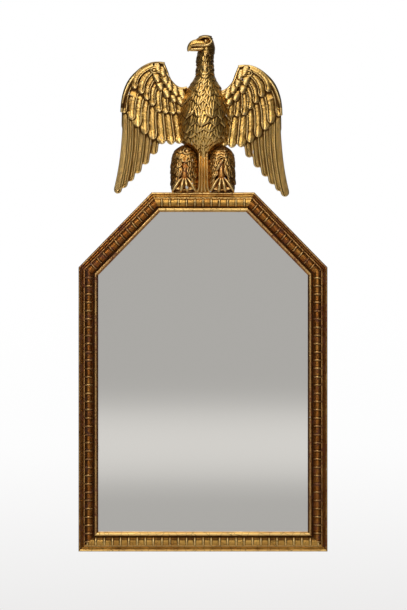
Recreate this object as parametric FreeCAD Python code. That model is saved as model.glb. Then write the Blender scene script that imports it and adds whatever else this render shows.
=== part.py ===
import FreeCAD, Part
import math
import os

# Wall mirror in a six-sided moulded frame with a carved eagle standing on its top rail.
# Millimetres. +Z is up, the front faces -Y and the back of the frame lies on the plane Y = 0.
# "out" is the distance from that plane towards the viewer. The origin is on the back plane,
# midway between the two points where the wall hooks carry the hanger rings.

Vector = FreeCAD.Vector

# Frame outline, seen from the front
frame_width = 560.0
frame_height = 808.0
cant_run = 164.5             # how far a canted corner comes in along the top
cant_rise = 168.5            # how far a canted corner comes down the side
hook_height = 556.0          # wall hooks above the foot of the frame

# Moulding, measured across from the outer edge and out from the wall
rail_width = 44.0
edge_out = 19.5              # flat outer side
edge_bead_width = 5.5
edge_bead_rise = 2.7
hollow_start = 6.0
hollow_radius = 6.0
platform_out = 24.5          # flat seat that carries the ribbed roll
roll_start = 13.0
roll_width = 20.0
quirk_width = 1.0
quirk_depth = 2.5
sight_bead_rise = 3.4
sight_edge_drop = 1.2        # inner foot of the sight bead below its outer foot

# Ribbed roll
roll_half_angle = 75.0       # degrees of arc each side of its crown
roll_facets = 4              # cut marks across the arc
rib_pitch = 18.5
rib_width = 3.6
rib_rise = 1.1

# Mirror plate, backboards and their rebates
board_thickness = 6.0
board_rebate = 14.0
board_clearance = 1.0
board_joint = 0.5
block_space = 6.0            # room behind the plate for the glazing blocks
plate_thickness = 4.0
plate_rebate = 7.0
plate_clearance = 1.2
block_leg = 5.4
block_length = 40.0
blocks_per_rail = 2
lower_board_height = 250.0
middle_board_height = 250.0
brad_side = 1.6
brad_head_side = 3.2
brad_head_thickness = 0.8
brad_length = 15.0
brad_shelf = 3.4             # brads stand this far inside the board rebate
spline_thickness = 2.4
spline_leg = 26.0
spline_out = 11.0
hole_clearance = 0.05
turned_facets = 8            # flats round dowels and screws

# Strap hangers with D rings
hanger_across = 15.0         # strap centre from the outer edge of the stile
strap_width = 14.0
strap_length = 50.0
strap_thickness = 1.8
ring_wire = 3.2
ring_inner_width = 20.0
ring_reach = 17.0            # pivot to the inside of the bow
ring_corner = 3.4
ring_sides = 8
ring_bow_turns = 10
ring_standoff = 0.4          # ring above the strap when it hangs down
pivot_clearance = 0.07
knuckle_wall = 1.4
knuckle_facets = 16
strap_end_facets = 16
hanger_screw_spacing = 15.0
hanger_screw_first = 27.0    # first screw below the pivot
hanger_screw_radius = 1.8
hanger_screw_head_radius = 3.6
hanger_screw_head_rise = 1.6
hanger_screw_length = 16.0

# Iron strap that holds the crest
iron_thickness = 4.0
iron_width = 18.0
iron_height = 190.0          # above the frame
iron_foot_width = 96.0
iron_foot_height = 18.0
iron_foot_below = 27.0       # bottom of the foot below the top of the frame
iron_screw_radius = 2.2
iron_screw_head_radius = 4.4
iron_screw_length = 17.0
iron_foot_screw_across = 36.0
iron_body_screw_heights = (128.0, 172.0)

# Carved crest; heights are above the top of the frame
crest_back = iron_thickness
neck_joint = 290.0
scale_rise = 2.8             # how far a carved scale's tip stands up
joint_gap = 0.3
wing_shift = 7.0             # the right wing reaches this much less
wing_drop = 7.0              # and hangs this much lower
leg_span = 41.2              # leg centre from the middle of the rail
leg_foot = 14.0              # hem of the thigh above the rail
leg_top = 106.0
heel_half_width = 13.0
heel_depth = 15.0
dowel_radius = 4.0
leg_dowel_sink = 16.0
leg_dowel_height = 44.0
leg_dowel_out = 11.5
wing_dowel_radius = 3.0
wing_dowel_out = 10.5
wing_dowel_heights = (150.0, 208.0)
wing_dowel_ends = (44.0, 80.0)
neck_dowel_radius = 5.0
neck_dowel_length = 32.0
neck_dowel_out = 21.0

frame_foot = -hook_height
frame_top = frame_height - hook_height
plate_back = board_thickness + block_space
plate_front = plate_back + plate_thickness
hollow_floor = platform_out - hollow_radius
roll_end = roll_start + roll_width
sight_start = roll_end + quirk_width

half = frame_width / 2
corners = [
    (-half, frame_foot),
    (half, frame_foot),
    (half, frame_top - cant_rise),
    (half - cant_run, frame_top),
    (cant_run - half, frame_top),
    (-half, frame_top - cant_rise),
]
sides = ["bottom", "right", "right_cant", "top", "left_cant", "left"]
rail_names = {
    "bottom": "bottom_rail",
    "right": "right_stile",
    "right_cant": "right_cant_rail",
    "top": "top_rail",
    "left_cant": "left_cant_rail",
    "left": "left_stile",
}
side_count = len(sides)
up = Vector(0, 0, 1)
nodes = {}


def point(x, out, z):
    return Vector(x, -out, z)


def crest_point(x, out, height):
    return Vector(x, -out, frame_top + height)


def box(x_range, out_range, z_range):
    size = (x_range[1] - x_range[0], out_range[1] - out_range[0], z_range[1] - z_range[0])
    return Part.makeBox(size[0], size[1], size[2], Vector(x_range[0], -out_range[1], z_range[0]))


def polygon_face(points):
    return Part.Face(Part.makePolygon(points + [points[0]]))


def prism(points, out_range):
    # Points are (x, z) pairs; the prism stands out from the wall.
    face = polygon_face([point(x, out_range[0], z) for x, z in points])
    return face.extrude(Vector(0, out_range[0] - out_range[1], 0))


def outline_face(start, steps, place):
    # A step is one point for a straight edge, or a middle and an end point for an arc.
    edges = []
    here = start
    closing = [] if steps[-1][-1] == start else [(start,)]
    for step in steps + closing:
        end = step[-1]
        if len(step) == 2:
            edges.append(Part.Arc(place(here), place(step[0]), place(end)).toShape())
        else:
            edges.append(Part.LineSegment(place(here), place(end)).toShape())
        here = end
    return Part.Face(Part.Wire(edges))


def facets_between(lower, upper):
    # Flat where four corners lie in one plane, otherwise split along a diagonal.
    faces = []
    count = len(lower)
    for i in range(count):
        j = (i + 1) % count
        quad = [lower[i], lower[j], upper[j], upper[i]]
        normal = (quad[1] - quad[0]).cross(quad[2] - quad[0])
        normal.normalize()
        if abs(normal.dot(quad[3] - quad[0])) < 1e-6:
            faces.append(polygon_face(quad))
        else:
            faces.append(polygon_face(quad[:3]))
            faces.append(polygon_face([quad[0], quad[2], quad[3]]))
    return faces


def faceted_loft(sections):
    faces = [polygon_face(sections[0]), polygon_face(sections[-1])]
    for lower, upper in zip(sections, sections[1:]):
        faces += facets_between(lower, upper)
    return closed_solid(faces)


def faceted_ring(sections):
    # The same, closed on itself.
    faces = []
    for lower, upper in zip(sections, sections[1:] + sections[:1]):
        faces += facets_between(lower, upper)
    return closed_solid(faces)


def closed_solid(faces):
    solid = Part.makeSolid(Part.makeShell(faces))
    if solid.Volume < 0:
        solid.reverse()
    return solid


def turned(profile, centre, axis, facets=turned_facets):
    # Round piece with cut flats, from (radius, along) pairs on an axis through centre.
    side = Vector(1, 0, 0) if abs(axis.x) < 0.5 else Vector(0, 0, 1)
    other = axis.cross(side)
    turns = [2 * math.pi * (k + 0.5) / facets for k in range(facets)]
    return faceted_loft([[centre + axis * along + (side * math.cos(a) + other * math.sin(a)) * radius
                          for a in turns] for radius, along in profile])


def dowel(start, axis, length, radius):
    return turned([(radius, 0), (radius, length)], start, axis)


def bezier(controls, t):
    # Point at t on the curve with these control points.
    points = [tuple(control) for control in controls]
    while len(points) > 1:
        points = [tuple(a + (b - a) * t for a, b in zip(p, q)) for p, q in zip(points, points[1:])]
    return points[0]


def blended(stations, height):
    # Smooth values between stations that start with their height, as a batten would run.
    last = len(stations) - 1
    k = max(i for i in range(last) if stations[i][0] <= height or i == 0)
    before, low, high, after = (stations[min(max(k + d, 0), last)] for d in (-1, 0, 1, 2))
    t = (height - low[0]) / (high[0] - low[0])
    values = []
    for column in range(1, len(low)):
        step = high[0] - low[0]
        slope_low = (high[column] - before[column]) / (high[0] - before[0]) * step
        slope_high = (after[column] - low[column]) / (after[0] - low[0]) * step
        rise = high[column] - low[column]
        bend = t * t * (3 - 2 * t)
        values.append(low[column] + rise * bend + slope_low * t * (1 - t) ** 2
                      - slope_high * t * t * (1 - t))
    return values


def carved_form(stations, rows, columns, rise, margin=0.0):
    # A flat-backed rounded form covered with overlapping scales that point down.
    # Stations are (height, centre, half width, depth). Scale tips stand up by rise.
    # Odd rows are shifted by half a scale; rows is even, so both ends are full rows.
    top, bottom = stations[-1][0], stations[0][0]

    def surface(row, column, lift):
        height = top - (top - bottom) * row / rows
        centre, width, depth = blended(stations, height)
        angle = math.pi * (column / columns - 0.5)
        # only points off the back plane are lifted
        lift = lift if 0 < column < columns else 0.0
        width += margin + lift
        depth += margin + lift
        return crest_point(centre + width * math.sin(angle),
                           crest_back + depth * math.cos(angle), height)

    def row_columns(row):
        if row % 2:
            return [column + 0.5 for column in range(columns)]
        return [float(column) for column in range(columns + 1)]

    faces = []
    for row in range(1, rows + 1):
        for column in row_columns(row):
            left, right = column - 0.5, column + 0.5
            foot = surface(row, column, 0.0)
            tip = surface(row, column, rise)
            if column == 0 or column == columns:
                beside = surface(row - 1, right if column == 0 else left, 0.0)
                faces.append(polygon_face([surface(row - 2, column, 0.0), beside, foot]))
                continue
            high_left = surface(row - 1, left, 0.0)
            high_right = surface(row - 1, right, 0.0)
            if row == 1:
                faces.append(polygon_face([high_left, high_right, tip]))
            else:
                head = surface(row - 2, column, 0.0)
                faces.append(polygon_face([head, high_left, tip]))
                faces.append(polygon_face([head, tip, high_right]))
            if rise:
                faces.append(polygon_face([tip, high_left, foot]))
                faces.append(polygon_face([tip, foot, high_right]))
    for column in row_columns(rows - 1):
        ends = [surface(rows, column - 0.5, 0.0), surface(rows, column + 0.5, 0.0)]
        faces.append(polygon_face([surface(rows - 1, column, 0.0)] + ends))
    for row in (0, rows):
        faces.append(polygon_face([surface(row, column, 0.0) for column in row_columns(row)]))
    edge_rows = range(0, rows + 1, 2)
    left_edge = [surface(row, 0, 0.0) for row in edge_rows]
    right_edge = [surface(row, columns, 0.0) for row in reversed(edge_rows)]
    faces.append(polygon_face(left_edge + right_edge))
    return closed_solid(faces)


def limb(stations, reference, facets=8):
    # A carved limb through (x, out, height, half width, half height) stations. The half
    # width lies along the reference direction.
    centres = [crest_point(x, out, height) for x, out, height, _, _ in stations]
    sections = []
    for i, (centre, station) in enumerate(zip(centres, stations)):
        ahead = centres[min(i + 1, len(centres) - 1)] - centres[max(i - 1, 0)]
        ahead.normalize()
        side = reference - ahead * reference.dot(ahead)
        side.normalize()
        rise = ahead.cross(side)
        turns = [2 * math.pi * (k + 0.5) / facets for k in range(facets)]
        sections.append([centre + side * (station[3] * math.cos(a)) + rise * (station[4] * math.sin(a))
                         for a in turns])
    return faceted_loft(sections)


def direction(i):
    start, end = corners[i], corners[(i + 1) % side_count]
    length = math.hypot(end[0] - start[0], end[1] - start[1])
    return (end[0] - start[0]) / length, (end[1] - start[1]) / length


def side_length(i):
    start, end = corners[i], corners[(i + 1) % side_count]
    return math.hypot(end[0] - start[0], end[1] - start[1])


def inward(i):
    along_x, along_z = direction(i)
    return -along_z, along_x


def inset_corner(i, distance):
    # Corner i of the outline that lies this far inside the frame's edge, on the mitre line.
    before, after = inward((i - 1) % side_count), inward(i % side_count)
    share = 1 + before[0] * after[0] + before[1] * after[1]
    x, z = corners[i % side_count]
    return x + distance * (before[0] + after[0]) / share, z + distance * (before[1] + after[1]) / share


def inset_outline(distance):
    return [inset_corner(i, distance) for i in range(side_count)]


def mitred_space(i, across_range, out_range):
    # The space of side i between its two mitres.
    near, far = across_range
    outline = [inset_corner(i, near), inset_corner(i + 1, near),
               inset_corner(i + 1, far), inset_corner(i, far)]
    return prism(outline, out_range)


def side_point(i, along, across, out):
    x, z = corners[i]
    along_x, along_z = direction(i)
    in_x, in_z = inward(i)
    return point(x + along_x * along + in_x * across, out, z + along_z * along + in_z * across)


# Mitred rails

sight_bead_foot = platform_out - quirk_depth
sight_middle = (sight_start + rail_width) / 2
hollow_turn = hollow_radius * math.sqrt(0.5)
rail_outline = [
    ((0, edge_out),),
    ((edge_bead_width / 2, edge_out + edge_bead_rise), (edge_bead_width, edge_out)),
    ((edge_bead_width, hollow_floor),),
    ((hollow_start, hollow_floor),),
    ((hollow_start + hollow_turn, platform_out - hollow_turn), (hollow_start + hollow_radius, platform_out)),
    ((roll_end, platform_out),),
    ((roll_end, sight_bead_foot),),
    ((sight_start, sight_bead_foot),),
    ((sight_middle, sight_bead_foot + sight_bead_rise), (rail_width, sight_bead_foot - sight_edge_drop)),
    ((rail_width, plate_front),),
    ((rail_width - plate_rebate, plate_front),),
    ((rail_width - plate_rebate, board_thickness),),
    ((rail_width - board_rebate, board_thickness),),
    ((rail_width - board_rebate, 0),),
]


def rail(i):
    overrun = rail_width
    face = outline_face((0, 0), rail_outline, lambda p: side_point(i, -overrun, p[0], p[1]))
    along_x, along_z = direction(i)
    length = side_length(i) + 2 * overrun
    bar = face.extrude(Vector(along_x * length, 0, along_z * length))
    return bar.common(mitred_space(i, (-1, rail_width + 1), (-1, platform_out + roll_width)))


def corner_spline(i):
    # Thin triangular key let into a saw cut across the outside of a mitre.
    before, after = direction((i - 1) % side_count), direction(i)
    x, z = corners[i]
    outline = [(x, z), (x + after[0] * spline_leg, z + after[1] * spline_leg),
               (x - before[0] * spline_leg, z - before[1] * spline_leg)]
    return prism(outline, (spline_out, spline_out + spline_thickness))


splines = [corner_spline(i) for i in range(side_count)]
for i, side in enumerate(sides):
    nodes[rail_names[side]] = rail(i).cut([splines[i], splines[(i + 1) % side_count]])
nodes["corner_splines"] = Part.makeCompound(splines)


# Ribbed rolls, planted on the rails

def ribbed_roll(i):
    crown_radius = roll_width / 2 / math.sin(math.radians(roll_half_angle))
    axis_out = platform_out - crown_radius * math.cos(math.radians(roll_half_angle))
    middle = roll_start + roll_width / 2
    turns = [math.radians(roll_half_angle) * (2 * k / roll_facets - 1) for k in range(roll_facets + 1)]

    def arch(along, radius):
        # the ends of the arch drop below the platform, so that every rib is cut off level with it
        sunk = side_point(i, along, middle - radius * math.sin(turns[-1]), platform_out - rib_rise)
        risen = side_point(i, along, middle + radius * math.sin(turns[-1]), platform_out - rib_rise)
        curve = [side_point(i, along, middle + radius * math.sin(a), axis_out + radius * math.cos(a)) for a in turns]
        return [sunk] + curve + [risen]

    length = side_length(i)
    ribs = 2 * int(length / rib_pitch / 2) + 1
    crests = [length / 2 + rib_pitch * (k - ribs // 2) for k in range(ribs)]
    barrel_radius = crown_radius - rib_rise
    arches = [arch(crests[0] - rib_pitch, barrel_radius)]
    for crest in crests:
        arches += [arch(crest - rib_width / 2, barrel_radius), arch(crest, crown_radius),
                   arch(crest + rib_width / 2, barrel_radius)]
    arches.append(arch(crests[-1] + rib_pitch, barrel_radius))
    return faceted_loft(arches).common(mitred_space(i, (0, rail_width), (platform_out, platform_out + roll_width)))


for i, side in enumerate(sides):
    nodes["ribbed_roll_" + side] = ribbed_roll(i)


# Mirror plate, the blocks that hold it and the boards behind it

plate_inset = rail_width - plate_rebate + plate_clearance
board_inset = rail_width - board_rebate + board_clearance
nodes["mirror_plate"] = prism(inset_outline(plate_inset), (plate_back, plate_front))


def glazing_block(i, along):
    # Three-cornered softwood block rubbed in between the plate and the rebate's wall.
    wall = rail_width - plate_rebate
    start = along - block_length / 2
    face = polygon_face([side_point(i, start, wall, plate_back),
                         side_point(i, start, wall + block_leg, plate_back),
                         side_point(i, start, wall, plate_back - block_leg)])
    along_x, along_z = direction(i)
    return face.extrude(Vector(along_x * block_length, 0, along_z * block_length))


blocks = []
for i in range(side_count):
    for k in range(blocks_per_rail):
        blocks.append(glazing_block(i, side_length(i) * (k + 1) / (blocks_per_rail + 1)))
nodes["glazing_blocks"] = Part.makeCompound(blocks)

board_bottom = frame_foot + board_inset
board_top = frame_top - board_inset
board_edges = [board_bottom, board_bottom + lower_board_height,
               board_bottom + lower_board_height + middle_board_height, board_top]
board_panel = prism(inset_outline(board_inset), (0, board_thickness))
boards = {}
for k, name in enumerate(["lower_backboard", "middle_backboard", "upper_backboard"]):
    low = board_edges[k] + (board_joint / 2 if k else -1)
    high = board_edges[k + 1] - (board_joint / 2 if k < 2 else -1)
    boards[name] = board_panel.common(box((-half, half), (-1, board_thickness + 1), (low, high)))


def brad(side, share, clearance=0.0):
    i = sides.index(side)
    across = rail_width - board_rebate + brad_shelf
    where = side_point(i, side_length(i) * share, across, 0)
    reach = brad_side / 2 + clearance
    shank = box((where.x - reach, where.x + reach), (0, brad_length), (where.z - reach, where.z + reach))
    head = brad_head_side / 2
    cap = box((where.x - head, where.x + head), (-brad_head_thickness, 0), (where.z - head, where.z + head))
    return shank if clearance else shank.fuse(cap)


# shares of the length of each side where a brad is driven
brad_places = {
    "bottom": (0.2, 0.8),
    "right": (0.12, 0.36, 0.62, 0.9),
    "top": (0.3, 0.7),
    "left": (0.1, 0.38, 0.64, 0.88),
}
brads = [brad(side, share) for side, shares in brad_places.items() for share in shares]
brad_holes = {side: [brad(side, share, hole_clearance) for share in shares] for side, shares in brad_places.items()}
nodes["backboard_brads"] = Part.makeCompound(brads)
for name, board in boards.items():
    nodes[name] = board.cut(sum(brad_holes.values(), []))
for side, holes in brad_holes.items():
    nodes[rail_names[side]] = nodes[rail_names[side]].cut(holes)


# Strap hangers and D rings on the backs of the stiles

pivot_out = -(strap_thickness + ring_standoff + ring_wire / 2)
pivot_height = -ring_reach
bore_radius = ring_wire / 2 + pivot_clearance
knuckle_radius = bore_radius + knuckle_wall
screw_heights = [pivot_height - hanger_screw_first - hanger_screw_spacing * k for k in range(2)]


def hanger_screw(x, z, clearance=0.0):
    # Round-headed screw; with a clearance it is the hole for the shank alone.
    radius = hanger_screw_radius + clearance
    head_base, head_top = -strap_thickness, -strap_thickness - hanger_screw_head_rise
    profile = [(radius * 0.3, hanger_screw_length), (radius, hanger_screw_length - radius), (radius, head_base)]
    if not clearance:
        profile += [(hanger_screw_head_radius, head_base), (hanger_screw_head_radius * 0.6, head_top)]
    return turned(profile, point(x, 0, z), Vector(0, -1, 0))


def strap_plate(x):
    # Plate with a rounded foot, rolled over at the top into the knuckle that holds the ring's bar.
    low = pivot_height - strap_length
    end_height = low + strap_width / 2
    plate = box((x - strap_width / 2, x + strap_width / 2), (-strap_thickness, 0), (end_height, pivot_height))
    plate_end = turned([(strap_width / 2, 0), (strap_width / 2, strap_thickness)],
                       point(x, 0, end_height), Vector(0, 1, 0), strap_end_facets)
    start = point(x - strap_width / 2, pivot_out, pivot_height)
    across = Vector(1, 0, 0)
    knuckle = turned([(knuckle_radius, 0), (knuckle_radius, strap_width)], start, across, knuckle_facets)
    bore = Part.makeCylinder(bore_radius, strap_width, start, across)
    return plate.fuse([plate_end, knuckle]).cut([bore] + [hanger_screw(x, z, hole_clearance) for z in screw_heights])


def d_ring(x):
    # Straight hinge bar above and a bow below, bent from many-sided wire.
    reach = (ring_inner_width + ring_wire) / 2
    bow_height = pivot_height - ring_reach - ring_wire / 2 + reach
    shoulder = reach - ring_corner
    path = []
    for end in (-1, 1):
        for k in range(3):
            a = math.pi / 4 * (k if end > 0 else 2 - k)
            path.append((end * (shoulder + ring_corner * math.sin(a)), pivot_height - ring_corner * (1 - math.cos(a))))
    for k in range(ring_bow_turns + 1):
        a = math.pi * k / ring_bow_turns
        path.append((reach * math.cos(a), bow_height - reach * math.sin(a)))
    count = len(path)
    turns = [2 * math.pi * (k + 0.5) / ring_sides for k in range(ring_sides)]
    sections = []
    for k, (across, height) in enumerate(path):
        before, after = path[k - 1], path[(k + 1) % count]
        ahead = Vector(after[0] - before[0], 0, after[1] - before[1])
        ahead.normalize()
        side = ahead.cross(Vector(0, 1, 0))
        centre = point(x + across, pivot_out, height)
        sections.append([centre + (side * math.cos(a) + Vector(0, 1, 0) * math.sin(a)) * (ring_wire / 2)
                         for a in turns])
    return faceted_ring(sections)


hanger_screws = []
for name, x, stile in (("left", hanger_across - half, "left_stile"), ("right", half - hanger_across, "right_stile")):
    nodes["hanger_strap_" + name] = strap_plate(x)
    nodes["hanger_ring_" + name] = d_ring(x)
    hanger_screws += [hanger_screw(x, z) for z in screw_heights]
    nodes[stile] = nodes[stile].cut([hanger_screw(x, z, hole_clearance) for z in screw_heights])
nodes["hanger_screws"] = Part.makeCompound(hanger_screws)


# Iron strap let into the back of the top rail, carrying the crest

foot_low = frame_top - iron_foot_below
iron_foot = box((-iron_foot_width / 2, iron_foot_width / 2), (0, iron_thickness),
                (foot_low, foot_low + iron_foot_height))
iron_arm = box((-iron_width / 2, iron_width / 2), (0, iron_thickness),
               (foot_low + iron_foot_height / 2, frame_top + iron_height - iron_width / 2))
iron_end = turned([(iron_width / 2, 0), (iron_width / 2, iron_thickness)],
                  point(0, 0, frame_top + iron_height - iron_width / 2), Vector(0, -1, 0), strap_end_facets)
iron_strap = iron_foot.fuse([iron_arm, iron_end])


def iron_screw(x, z, clearance=0.0):
    # Countersunk, with its head level with the back of the strap.
    radius = iron_screw_radius + clearance
    head_radius = iron_screw_head_radius + clearance
    profile = [(head_radius, 0), (radius, head_radius - radius), (radius, iron_screw_length - radius),
               (radius * 0.3, iron_screw_length)]
    return turned(profile, point(x, 0, z), Vector(0, -1, 0))


iron_screw_places = [(-iron_foot_screw_across, foot_low + iron_foot_height / 2),
                     (iron_foot_screw_across, foot_low + iron_foot_height / 2)]
iron_screw_places += [(0, frame_top + height) for height in iron_body_screw_heights]
iron_holes = [iron_screw(x, z, hole_clearance) for x, z in iron_screw_places]
nodes["crest_strap"] = iron_strap.cut(iron_holes)
nodes["crest_screws"] = Part.makeCompound([iron_screw(x, z) for x, z in iron_screw_places])
nodes["top_rail"] = nodes["top_rail"].cut([iron_strap] + iron_holes)


# Eagle's body, with rows of scale feathers: height, centre, half width, depth

body_stations = [
    (74.0, 0.5, 10.5, 24.0),
    (84.0, 0.5, 12.5, 28.0),
    (93.0, 0.5, 18.0, 32.0),
    (101.0, 0.5, 28.0, 37.0),
    (110.0, 1.0, 45.0, 43.0),
    (122.0, 2.5, 53.0, 48.5),
    (145.0, 3.0, 58.0, 54.0),
    (170.0, 2.5, 57.0, 57.0),
    (195.0, 2.0, 52.0, 54.0),
    (217.0, 3.0, 46.0, 48.0),
    (238.0, 3.0, 36.0, 42.0),
    (254.0, 4.0, 26.0, 37.0),
    (268.0, 4.5, 20.8, 34.5),
    (neck_joint, 4.5, 18.5, 33.0),
]
body_rows = 16
body_columns = 6
body_form = carved_form(body_stations, body_rows, body_columns, scale_rise)
body_space = carved_form(body_stations, body_rows, body_columns, 0.0, scale_rise + joint_gap)

neck_x = body_stations[-1][1]
neck_low = crest_point(neck_x, neck_dowel_out, neck_joint - neck_dowel_length / 2)
nodes["neck_dowel"] = dowel(neck_low, up, neck_dowel_length, neck_dowel_radius)
neck_hole = dowel(neck_low, up, neck_dowel_length, neck_dowel_radius + hole_clearance)


# Head in profile, turned to the viewer's left

head_stations = [
    (neck_joint, 4.5, 18.5, 33.0),
    (302.0, 4.5, 18.0, 35.0),
    (316.0, 7.5, 18.5, 38.0),
    (328.0, 9.5, 18.5, 41.0),
    (340.0, 9.5, 17.0, 40.0),
    (348.0, 8.0, 13.0, 33.0),
    (351.5, 7.0, 9.0, 24.0),
]
beak_out = 31.0
beak_path = [
    (2.0, beak_out, 331.0, 12.0, 12.0),
    (-10.0, beak_out, 332.5, 9.0, 10.0),
    (-19.0, beak_out, 333.0, 7.0, 8.6),
    (-27.0, beak_out, 330.0, 5.0, 6.6),
    (-32.0, beak_out, 323.5, 3.0, 3.6),
    (-33.0, beak_out, 316.5, 0.9, 0.9),
]
jaw_path = [
    (2.0, beak_out, 323.0, 9.0, 6.0),
    (-12.0, beak_out, 322.0, 6.5, 4.0),
    (-23.0, beak_out, 321.0, 4.0, 2.4),
    (-27.0, beak_out, 320.5, 2.0, 1.2),
]
eye_path = [
    (-1.5, 39.5, 337.0, 4.2, 4.2),
    (-1.5, 43.0, 337.0, 3.4, 3.4),
    (-1.5, 44.6, 337.0, 1.4, 1.4),
]
brow_path = [
    (-11.0, 37.0, 339.5, 2.2, 1.6),
    (-4.0, 42.5, 342.5, 3.4, 2.4),
    (6.0, 45.5, 343.5, 3.4, 2.4),
    (16.0, 43.0, 341.5, 1.6, 1.2),
]
out_axis = Vector(0, -1, 0)
skull = carved_form(head_stations, 6, 6, scale_rise * 0.7)
upper_beak = limb(beak_path, out_axis)
lower_beak = limb(jaw_path, out_axis)
brow = limb(brow_path, out_axis, 6)
eye = limb(eye_path, up, 6)
nodes["eagle_head"] = skull.fuse([upper_beak, lower_beak, brow, eye]).cut(neck_hole)


# Feathered thighs and clawed feet, one pair of values mirrored about the middle of the rail

thigh_profile = [
    (leg_foot, 28.4, 36.0),
    (32.0, 28.0, 38.0),
    (60.0, 27.6, 38.0),
    (75.0, 25.2, 37.0),
    (90.0, 20.0, 33.0),
    (leg_top, 11.5, 24.0),
]
opening_half_width = 24.0    # the thigh feathers part in front of the shank
opening_top = 76.0
opening_out = 30.0
shank_out = 34.0
# height, half width, half depth
shank_stations = [(11.0, 6.0, 3.6), (32.0, 5.4, 3.6), (52.0, 3.6, 3.4), (66.0, 1.4, 3.0)]
# spread away from the middle of the rail, half width
toes = [(27.0, 3.8), (8.5, 4.4), (-6.0, 4.4), (-24.0, 3.8)]
# share of the spread, out, height, share of the half width, half depth
toe_stations = [
    (0.12, 33.5, 35.0, 0.8, 4.0),
    (0.62, 38.0, 18.0, 1.0, 5.0),
    (0.97, 37.0, 5.0, 1.0, 4.2),
    (1.02, 31.5, -1.0, 0.25, 0.9),
]
sole_out = (16.0, 33.5)      # the pad between heel and toes, back and front
sole_half_width = (15.0, 25.0)
sole_low = (1.0, 4.0)


def thigh(side, margin=0.0, rise=scale_rise):
    stations = [(height, side * leg_span, width, depth) for height, width, depth in thigh_profile]
    return carved_form(stations, 8, 6, rise, margin)


def shank_opening(side):
    x = side * leg_span
    outline = [(x - opening_half_width, frame_top), (x + opening_half_width, frame_top), (x, frame_top + opening_top)]
    return prism(outline, (opening_out, opening_out + roll_width))


def toe(side, spread, half_width):
    path = [(side * (leg_span + spread * share), out, height, half_width * narrowing, half_depth)
            for share, out, height, narrowing, half_depth in toe_stations]
    return limb(path, Vector(1, 0, 0), 6)


def sole_section(side, height=None):
    # Four corners of the pad, at one height or along its rising underside.
    x = side * leg_span
    section = []
    for k, end in ((0, -1), (0, 1), (1, 1), (1, -1)):
        section.append(crest_point(x + end * sole_half_width[k], sole_out[k], sole_low[k] if height is None else height))
    return section


def foot(side):
    x = side * leg_span
    heel = box((x - heel_half_width, x + heel_half_width), (crest_back, crest_back + heel_depth),
               (frame_top, frame_top + leg_foot))
    sole = faceted_loft([sole_section(side), sole_section(side, leg_foot - joint_gap)])
    shank = limb([(x, shank_out, height, half_width, half_depth)
                  for height, half_width, half_depth in shank_stations], Vector(1, 0, 0), 6)
    return heel.fuse([sole, shank] + [toe(side, spread, half_width) for spread, half_width in toes])


leg_dowels = []
leg_holes = []
for side in (-1, 1):
    low = crest_point(side * leg_span, leg_dowel_out, -leg_dowel_sink)
    leg_dowels.append(dowel(low, up, leg_dowel_sink + leg_dowel_height, dowel_radius))
    leg_holes.append(dowel(low, up, leg_dowel_sink + leg_dowel_height, dowel_radius + hole_clearance))
nodes["leg_dowels"] = Part.makeCompound(leg_dowels)
nodes["top_rail"] = nodes["top_rail"].cut(leg_holes)
thigh_spaces = {side: thigh(side, scale_rise + joint_gap, 0.0) for side in (-1, 1)}
for name, side, hole in (("left", -1, leg_holes[0]), ("right", 1, leg_holes[1])):
    nodes[name + "_leg"] = thigh(side).cut([shank_opening(side), body_space, hole])
    nodes[name + "_foot"] = foot(side).cut([thigh_spaces[side].cut(shank_opening(side)), hole])


# Fluted tail behind the legs: height, half width, depth

tail_stations = [(92.0, 11.6, 22.0), (60.0, 11.6, 22.5), (30.0, 12.0, 22.0), (12.0, 14.0, 21.0), (0.0, 18.0, 17.0)]
tail_flutes = 4
tail_centre = 0.6
flute_depth = 3.2


def tail_section(height, width, depth):
    crests = 2 * tail_flutes
    front = []
    for k in range(crests + 1):
        across = tail_centre - width + 2 * width * k / crests
        out = crest_back + depth - (0 if k % 2 else flute_depth)
        front.append(crest_point(across, out, height))
    back = [crest_point(tail_centre + width, crest_back, height), crest_point(tail_centre - width, crest_back, height)]
    return front + back


tail_form = faceted_loft([tail_section(*station) for station in tail_stations])
nodes["tail"] = tail_form.cut([body_space] + list(thigh_spaces.values()))


# Wings in overlapping tiers. Points are (reach from the centre line, height).

wing_outline = [(30, 118), (30, 238), (49, 233), (58, 235), (67, 243), (76, 256), (81, 274), (87, 292), (101, 294),
                (116, 292), (130, 286), (143, 277), (156, 263), (168, 246), (177, 226), (183, 204), (184, 150),
                (172, 120), (118, 116)]
wing_plate_out = 12.0
shoulder_outline = [(72, 246), (80, 262), (84, 277), (90, 289), (112, 289), (133, 279), (150, 264), (166, 241),
                    (174, 219), (120, 214), (66, 222)]
shoulder_out = 19.5
shoulder_taper = 0.84
# roots and tips run along curves from the leading edge inwards
wing_tiers = [
    # count, root curve, tip curve, width, root out, tip out, ridge, outer bow, inner bow
    (6, [(174, 200), (150, 165), (108, 150)], [(194, -1), (161, 28), (112, 84)], 17.5, 15.0, 9.5, 2.4, -9.0, 2.0),
    (8, [(126, 268), (112, 205), (64, 190)], [(180, 196), (150, 108), (66, 108)], 20.5, 18.0, 16.5, 3.4, 7.0, 0.0),
    (6, [(110, 283), (96, 240), (58, 228)], [(142, 240), (112, 164), (66, 180)], 17.5, 21.5, 20.5, 3.2, 4.0, 0.0),
    (5, [(105, 282), (84, 250), (54, 232)], [(117, 262), (96, 226), (62, 210)], 14.0, 25.0, 24.5, 2.4, 0.0, 0.0),
]
feather_stations = [(0.0, 0.8), (0.5, 1.0), (0.88, 0.9), (1.0, 0.38)]


def wing_place(side, reach, height):
    if side > 0:
        return reach - wing_shift, height - wing_drop
    return -reach, height


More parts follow.
